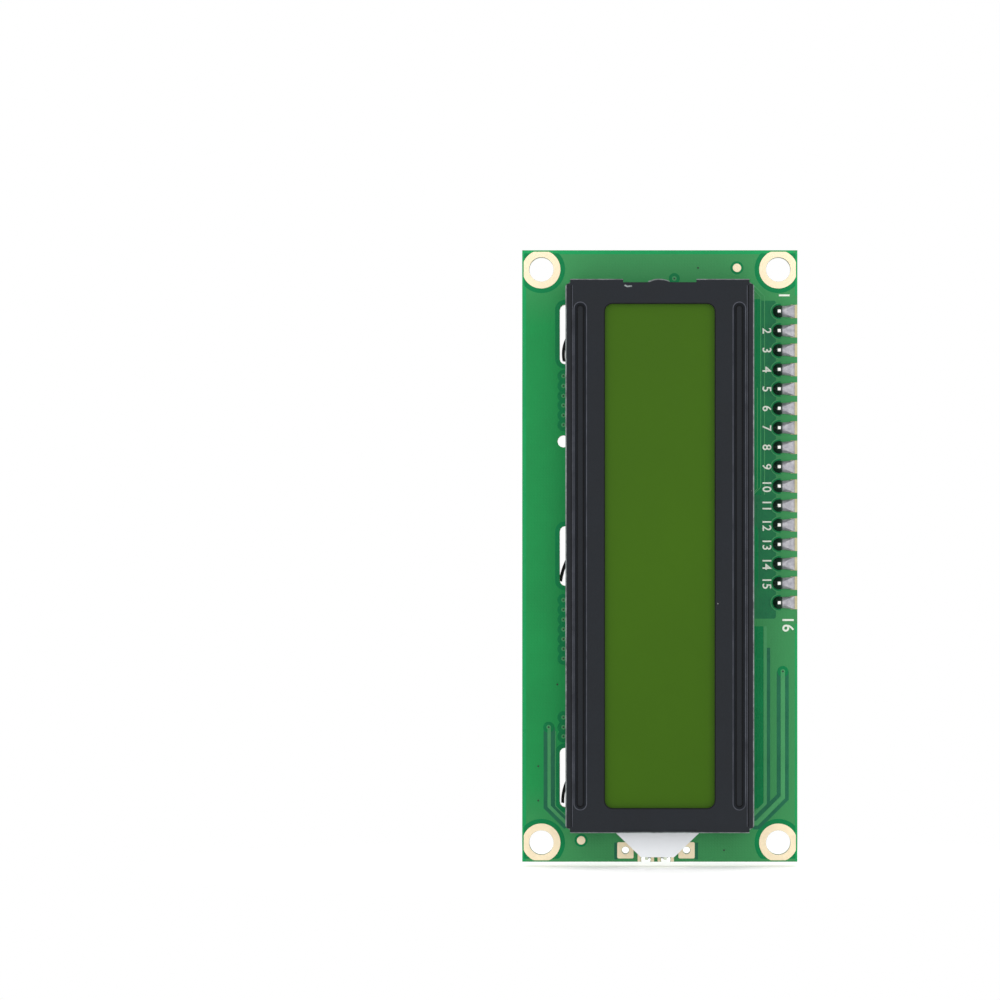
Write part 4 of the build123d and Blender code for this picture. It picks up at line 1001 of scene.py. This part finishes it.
class DISPLAY_OT_bezel_lines(bpy.types.Operator):
    """Painted highlight round the bezel's folded edge, a lower lip, and painted highlight and shadow lines beside its
    channels, along its creases and round the window
    """
    bl_idname = "display.bezel_lines"
    bl_label = "Bezel lines"

    def execute(self, context):
        edge, face = (-6.5, -1), face_of("bezel", -1)
        sides = (-1, 1)
        # Pale lines along the folded edge and the top: painted highlight where the fold would catch light.
        edge_highlights = lines([(0.22, side * 11.6, -35.35, side * 12.1, -34.9, side * 12.1, 34.9, side * 11.6, 35.35)
                      for side in sides], edge, 0.35)
        edge_highlights += lines([(0.24, side * 11.6, 35.72, side * 4.75, 35.72) for side in sides]
                      + [(0.14, -11.6, -35.77, 11.6, -35.77)], edge, 0.37)
        edge_highlights += lines([(0.2, -4.55, 35.0, -4.2, 34.85, -3.6, 34.9)], face, 0.015)
        edge_highlights.append(ribbon(arc(-0.1, 32.6, 3.16, 65, 116, 16), 0.2, edge, 0.37))
        build("bezel_edge_highlight_lines", edge_highlights, "bezel_edge_highlight")
        turn = np.radians(np.linspace(27, 90, 8))
        lip = np.column_stack([-6.65 - 0.55 * np.cos(turn), -35.2 - 0.55 * np.sin(turn)])
        lip = np.concatenate([lip, pairs((-3.65, -35.75, -3.65, -35.3, -7.1, -35.3))])
        rings = [np.column_stack([np.full(len(lip), x), lip]) for x in (-4.8, 4.8)]
        build("bezel_lower_lip", [skin(rings)], "bezel_black")
        # light gathers painted highlights beside the channels and creases; dark gathers painted shadow lines in the
        # channels, beside the creases and round the window.
        light, dark = [], []
        for side in sides:
            x = side * 10.28
            light.append(ribbon(rectangle(x, 0, 1.62, 65.66, 0.81, 9), 0.11, face, 0.02, closed=True))
            light += lines([(0.08, side * 11.3, -35.0, side * 11.3, 35.0)], face, 0.015)
            dark.append(ribbon(rectangle(x, 0, 0.86, 64.9, 0.43, 9), 0.2, (face[0] + 0.35, -1), 0.08, closed=True))
            dark += lines([(0.12, side * 11.45, -35.0, side * 11.45, 35.0)], face, 0.01)
        dark.append(ribbon(rectangle(0, 0, 14.32, 65.32, 1.05, 6), 0.12, face, 0.012, closed=True))
        build("bezel_channel_highlight_lines", light, "bezel_channel_highlight")
        build("bezel_shadow_lines", dark, "bezel_shade")
        return {"FINISHED"}


# Solder and resin

def slope_joint(z):
    """The front joint of one pin. Its outline is a half circle with a ramp that widens to the right, and
    its rings draw in from that outline to the pin while they rise."""
    ramp = pairs((0.55, 0.71, 1.1, 0.76, 1.6, 0.81, 2.05, 0.87))
    right = np.concatenate([ramp * (1, -1), pairs((2.05, -0.3, 2.05, 0.3)), ramp[::-1]])
    outer = np.concatenate([arc(0, 0, 0.83, 60, 300, 25), right])
    core = outer * 0.27 / np.abs(outer).max(axis=1, keepdims=True)
    profile = ((1.0, 0.0), (1.0, 0.06), (0.96, 0.14), (0.86, 0.25), (0.68, 0.38), (0.47, 0.54), (0.22, 0.74),
               (0.0, 0.95))
    return skin([on_face(core + (outer - core) * share + (HEADER_X, z), FRONT, lift) for share, lift in profile])


class DISPLAY_OT_solder(bpy.types.Operator):
    """Solder joints of the header on both sides"""
    bl_idname = "display.solder"
    bl_label = "Header solder"

    def execute(self, context):
        build("front_joints", [slope_joint(z) for z in PIN_ROWS], "front_joint",
              replaces=("display_solder_joints",), sharp=50)
        profile = ((0.84, 0.0), (0.84, 0.05), (0.78, 0.1), (0.62, 0.22), (0.5, 0.42), (0.44, 0.66), (0.4, 0.86))
        cones = [skin([on_face(arc(HEADER_X, z, reach, steps=28), ADAPTER, lift) for reach, lift in profile])
                 for z in PIN_ROWS]
        build("adapter_joints", cones, "back_joint", replaces=("adapter_solder_joints",), sharp=60)
        rims = [ring(HEADER_X, z, 0.84, 0.97, ADAPTER, 0.035, 36) for z in PIN_ROWS]
        build("adapter_rims", rims, "adapter_pad")
        return {"FINISHED"}


class DISPLAY_OT_drops(bpy.types.Operator):
    """Epoxy drops over the two bare chips"""
    bl_idname = "display.drops"
    bl_label = "Epoxy drops"

    def execute(self, context):
        build("controller_dome", [drop(*CONTROLLER, 6.4, 1.7, BACK)], "epoxy_black",
              replaces=("controller_drop",), sharp=60)
        build("driver_dome", [drop(*DRIVER, 5.25, 1.6, BACK)], "epoxy_black",
              replaces=("driver_drop",), sharp=60)
        return {"FINISHED"}


# Pins and leads

class DISPLAY_OT_pins(bpy.types.Operator):
    """Header pins with pointed ends, straight and bent"""
    bl_idname = "display.pins"
    bl_label = "Pins"

    def execute(self, context):
        straight = [skin([on_face(rectangle(HEADER_X, z, PIN_SIZE * size, PIN_SIZE * size, 0.06), FRONT, lift)
                          for size, lift in ((0.55, 1.0), (1.0, 0.8), (1.0, -6.6), (0.55, -6.9))])
                    for z in PIN_ROWS]
        build("header_pin_row", straight, "pin_painted_highlight", replaces=("header_pins",))
        for name, node_name, places, foot_z, tip_z in (
                ("serial_pin_row", "serial_header_pins", (3.73, 6.27, 8.81, 11.35), 32.65, 40.47),
                ("jumper_pin_row", "jumper_header_pins", (7.15, 9.69), -6.65, -12.4)):
            line = bent_line(pairs((3.2, foot_z, 8.9, foot_z, 8.9, tip_z)), 0.9, steps=8)
            bars = [bar(x, line, PIN_SIZE, PIN_SIZE, 0.1, tip=0.5) for x in places]
            build(name, bars, "pin_metal", replaces=(node_name,))
        return {"FINISHED"}


class DISPLAY_OT_expander(bpy.types.Operator):
    """Leads of the expander chip and the solder at their feet"""
    bl_idname = "display.expander"
    bl_label = "Expander leads"

    def execute(self, context):
        leads, feet = [], []
        foot = ((0.0, 0.0), (0.02, 0.1), (0.1, 0.22), (0.24, 0.29))
        shoulder, sole = ADAPTER[0] + 1.225, ADAPTER[0] + 0.14
        for side in (-1, 1):
            edge = EXPANDER_Z + side * 3.75
            line = bent_line([(shoulder, edge - side * 0.1), (shoulder, edge + side * 0.42),
                              (sole, edge + side * 0.72), (sole, edge + side * 1.38)], 0.16)
            for place in range(8):
                x = EXPANDER_X + (place - 3.5) * LEAD_PITCH
                leads.append(bar(x, line, 0.42, 0.24, 0.2))
                feet.append(pillow(x, edge + side * 1.95, 0.78, 1.5, 0.39, foot, ADAPTER))
        build("expander_lead_set", leads, "bent_lead", replaces=("expander_leads",))
        build("expander_feet", feet, "lead_tin", sharp=60)
        return {"FINISHED"}


# Small parts: their name, finish, face, length, width and height, and x, z and whether they lie along Z
SMALL_PARTS = (
    ("adapter_resistor_{}", "resistor_black", ADAPTER, 2.5, 1.2, 0.5, (
        (4.88, -0.65, 0), (4.88, 1.88, 0), (4.88, 4.49, 0), (9.85, 1.4, 0), (0.1, 3.4, 1), (0.1, 7.9, 1),
        (0.1, 12.37, 1))),
    ("adapter_capacitor", "capacitor_tan", ADAPTER, 2.5, 1.2, 0.85, ((CAPACITOR_X, 3.95, 0),)),
    ("display_resistor_{}", "resistor_black", BACK, 2.0, 1.25, 0.5, (
        (-6.6, 30.5, 1), (-4.29, 30.5, 1), (-2.1, 30.5, 1), (-4.13, 22.7, 1), (-2.0, 22.7, 1))),
    ("display_resistor_6", "resistor_black", BACK, 3.2, 1.5, 0.6, ((12.6, -20.3, 1),)),
    ("power_lamp", "lamp_clear", ADAPTER, 2.5, 1.2, 0.4, ((4.57, -3.1, 0),)),
)


def small_part(name, finish_name, face, length, width, height, place):
    """Builds the body and the plated ends of one part, and gives back the two slopes of its solder."""
    x, z, turned = place

    def block(offset, run, wide, radius, profile):
        """A rounded box on the part, at an offset along its length."""
        return (pillow(x, z + offset, wide, run, radius, profile, face) if turned
                else pillow(x + offset, z, run, wide, radius, profile, face))

    edges = ((0.0, 0.02), (0.0, height - 0.06), (0.05, height - 0.01), (0.1, height))
    body = [block(0, length - 0.5, width - 0.1, 0.04, edges)]
    if name == "power_lamp":
        lens = ((0.0, height), (0.06, height + 0.2), (0.12, height + 0.4), (0.2, height + 0.45))
        body.append(block(0, 1.7, width - 0.1, 0.2, lens))
    build(name + "_body", body, finish_name, replaces=(name,))
    cap = ((0.02, 0.0), (0.0, 0.06), (0.0, height - 0.03), (0.06, height + 0.03))
    ends = [block(side * (length / 2 - 0.2), 0.42, width, 0.08, cap) for side in (-1, 1)]
    build(name + "_ends", ends, "solder")
    slope = ((0.0, 0.0), (0.02, 0.08), (0.12, 0.22), (0.24, height * 0.7))
    return [block(side * (length / 2 + 0.08), 0.75, width + 0.15, 0.2, slope) for side in (-1, 1)]


class DISPLAY_OT_small_parts(bpy.types.Operator):
    """Chip resistors, the capacitor and the power lamp: ceramic body, plated ends and solder"""
    bl_idname = "display.small_parts"
    bl_label = "Small parts"

    def execute(self, context):
        solder = []
        for name, *form, places in SMALL_PARTS:
            for number, place in enumerate(places, 1):
                solder += small_part(name.format(number), *form, place)
        build("small_part_solder", solder, "solder", sharp=60)
        marks = [tile(5.1, -3.1 + offset, 0.28, 0.26, (ADAPTER[0] + 0.84, 1), 0.02, 0.08)
                 for offset in (-0.28, 0.28)]
        build("power_lamp_marks", marks, "lamp_green")
        return {"FINISHED"}


class DISPLAY_OT_trimmer(bpy.types.Operator):
    """Scale marks, a ring of painted shade round the rotor, and the paint dot of the trimmer"""
    bl_idname = "display.trimmer"
    bl_label = "Trimmer marks"

    def execute(self, context):
        top = face_of("trimmer_body", 1)
        # The ring round the rotor is painted shade where its chamfer lies.
        marks = [ring(TRIMMER_X, TRIMMER_Z, 1.62, 1.94, top, 0.03, 48), disc(6.3, 27.5, 0.26, top, 0.03, 20)]
        for step in range(-5, 6):
            angle = math.radians(-3.5 + 27 * step)
            reach = np.array([1.9, 2.72 if step in (0, 5) else 2.4])
            line = np.column_stack([TRIMMER_X + reach * math.cos(angle), TRIMMER_Z + reach * math.sin(angle)])
            marks.append(ribbon(line, 0.34, top, 0.03))
        build("trimmer_scale", marks, "rotor_ring")
        dot_x, dot_z, dot_radius = 7.09, 22.14, 0.2
        build("trimmer_dot", [disc(dot_x, dot_z, dot_radius, top, 0.04, 20)], "ink")
        build("trimmer_pits", [ring(dot_x, dot_z, dot_radius, 0.38, top, 0.03, 24)], "pit_dark")
        return {"FINISHED"}


# Stage

LAMPS = (("lamp_front_left", (-0.45, -0.6, 0.4), 0.5), ("lamp_front_right", (0.6, -0.5, 0.2), 0.4),
         ("lamp_front_low", (0.1, -0.9, 0.02), 0.5), ("lamp_back_left", (-0.6, 0.5, 0.25), 0.4),
         ("lamp_back_right", (0.45, 0.6, 0.5), 0.5))
CAMERA_SHIFT = (-0.1598, 0.056)


def white_where_seen(tree, seen, shaded):
    """The first shader for camera, glossy and transmission rays, the second for the light itself."""
    path = add_node(tree, "LightPath").outputs
    both = maths(tree, "MAXIMUM", path["Is Camera Ray"], path["Is Glossy Ray"])
    every = maths(tree, "MAXIMUM", both, path["Is Transmission Ray"])
    return mix_shaders(tree, every, shaded, seen)


def paper():
    """White floor paper: shaded near the module, so that its shadow shows, and plain white further off.
    From below it is clear."""
    material = bpy.data.materials.new("pale_paper")
    tree = clear_tree(material)
    place = add_node(tree, "TexCoord").outputs["Object"]
    fibre = add_node(tree, "TexNoise", {"Vector": place, "Scale": 400.0}).outputs["Fac"]
    bump = add_node(tree, "Bump", {"Height": fibre, "Distance": 0.00002})
    shaded = add_node(tree, "BsdfPrincipled", {
        "Base Color": (0.98, 0.98, 0.98, 1), "Roughness": 0.9, "Specular IOR Level": 0.0,
        "Emission Color": WHITE, "Emission Strength": 0.3, "Normal": bump.outputs["Normal"]}).outputs[0]
    white = add_node(tree, "Emission", {"Color": WHITE, "Strength": 1.0}).outputs[0]
    open_floor = white_where_seen(tree, white, shaded)
    flat = add_node(tree, "VectorMath", {0: place, 1: (1.0, 1.2, 0.0)}, operation="MULTIPLY").outputs[0]
    away = add_node(tree, "VectorMath", {0: flat}, operation="LENGTH").outputs["Value"]
    far = add_node(tree, "MapRange", {"Value": away, "From Min": 0.025, "From Max": 0.07},
                   interpolation_type="SMOOTHSTEP").outputs["Result"]
    clear = add_node(tree, "BsdfTransparent").outputs[0]
    below = add_node(tree, "NewGeometry").outputs["Backfacing"]
    surface = mix_shaders(tree, below, mix_shaders(tree, far, shaded, open_floor), clear)
    add_node(tree, "OutputMaterial", {"Surface": surface})
    return material


class DISPLAY_OT_stage(bpy.types.Operator):
    """Floor, room, lamps and camera"""
    bl_idname = "display.stage"
    bl_label = "Stage"

    def execute(self, context):
        scene = context.scene
        settings = scene.display_stage
        scene.view_settings.view_transform = "Standard"

        scene.world = bpy.data.worlds.new("white_room")
        tree = clear_tree(scene.world)
        seen, light = (add_node(tree, "Background", {"Color": WHITE, "Strength": strength}).outputs[0]
                       for strength in (1.0, settings.room_light))
        add_node(tree, "OutputWorld", {"Surface": white_where_seen(tree, seen, light)})

        reach, level = 3.0, cad_box[0].z - 0.0006
        corners = [(x * reach, y * reach, level) for x, y in ((-1, -1), (1, -1), (1, 1), (-1, 1))]
        mesh = bpy.data.meshes.new("pale_floor")
        mesh.from_pydata(corners, [], [(0, 1, 2, 3)])
        floor = bpy.data.objects.new("pale_floor", mesh)
        scene.collection.objects.link(floor)
        floor.data.materials.append(paper())

        for name, place, size in LAMPS:
            lamp = bpy.data.lights.new(name, "AREA")
            lamp.shape = "SQUARE"
            lamp.size = size
            lamp.energy = settings.lamp_power
            holder = bpy.data.objects.new(name, lamp)
            holder.location = place
            holder.rotation_euler = Vector(place).to_track_quat("Z", "Y").to_euler()
            scene.collection.objects.link(holder)

        camera = bpy.data.cameras.new("camera")
        camera.lens = settings.lens
        camera.sensor_width = 36.0
        camera.shift_x, camera.shift_y = CAMERA_SHIFT
        camera.clip_start, camera.clip_end = 0.01, 20.0
        holder = bpy.data.objects.new("camera", camera)
        holder.location = (0.0, -settings.camera_distance, 0.0)
        holder.rotation_euler = (math.radians(90), 0.0, 0.0)
        scene.collection.objects.link(holder)
        scene.camera = holder
        return {"FINISHED"}


STEPS = (DISPLAY_OT_finishes, DISPLAY_OT_pads, DISPLAY_OT_copper, DISPLAY_OT_print, DISPLAY_OT_adapter_copper,
         DISPLAY_OT_bezel_lines, DISPLAY_OT_solder, DISPLAY_OT_drops, DISPLAY_OT_pins,
         DISPLAY_OT_expander, DISPLAY_OT_small_parts, DISPLAY_OT_trimmer, DISPLAY_OT_stage)
GROUPS_OF_SETTINGS = {"display_board": DisplayBoardSettings, "display_parts": DisplayPartSettings,
                      "display_stage": DisplayStageSettings}


class DISPLAY_PT_panel(bpy.types.Panel):
    """Lists the steps that dress the module"""
    bl_label = "Display module"
    bl_idname = "DISPLAY_PT_panel"
    bl_space_type = "VIEW_3D"
    bl_region_type = "UI"
    bl_category = "Display module"

    def draw(self, context):
        for step in STEPS:
            self.layout.operator(step.bl_idname)
        for name, group in GROUPS_OF_SETTINGS.items():
            box = self.layout.box()
            for setting in group.__annotations__:
                box.prop(getattr(context.scene, name), setting)


def register():
    for kind in (*GROUPS_OF_SETTINGS.values(), *STEPS, DISPLAY_PT_panel):
        bpy.utils.register_class(kind)
    for name, group in GROUPS_OF_SETTINGS.items():
        setattr(bpy.types.Scene, name, PointerProperty(type=group))


def unregister():
    for name in GROUPS_OF_SETTINGS:
        delattr(bpy.types.Scene, name)
    for kind in (DISPLAY_PT_panel, *reversed(STEPS), *GROUPS_OF_SETTINGS.values()):
        bpy.utils.unregister_class(kind)


def main():
    register()
    for step in STEPS:
        family, name = step.bl_idname.split(".")
        getattr(getattr(bpy.ops, family), name)()


if __name__ == "__main__":
    main()
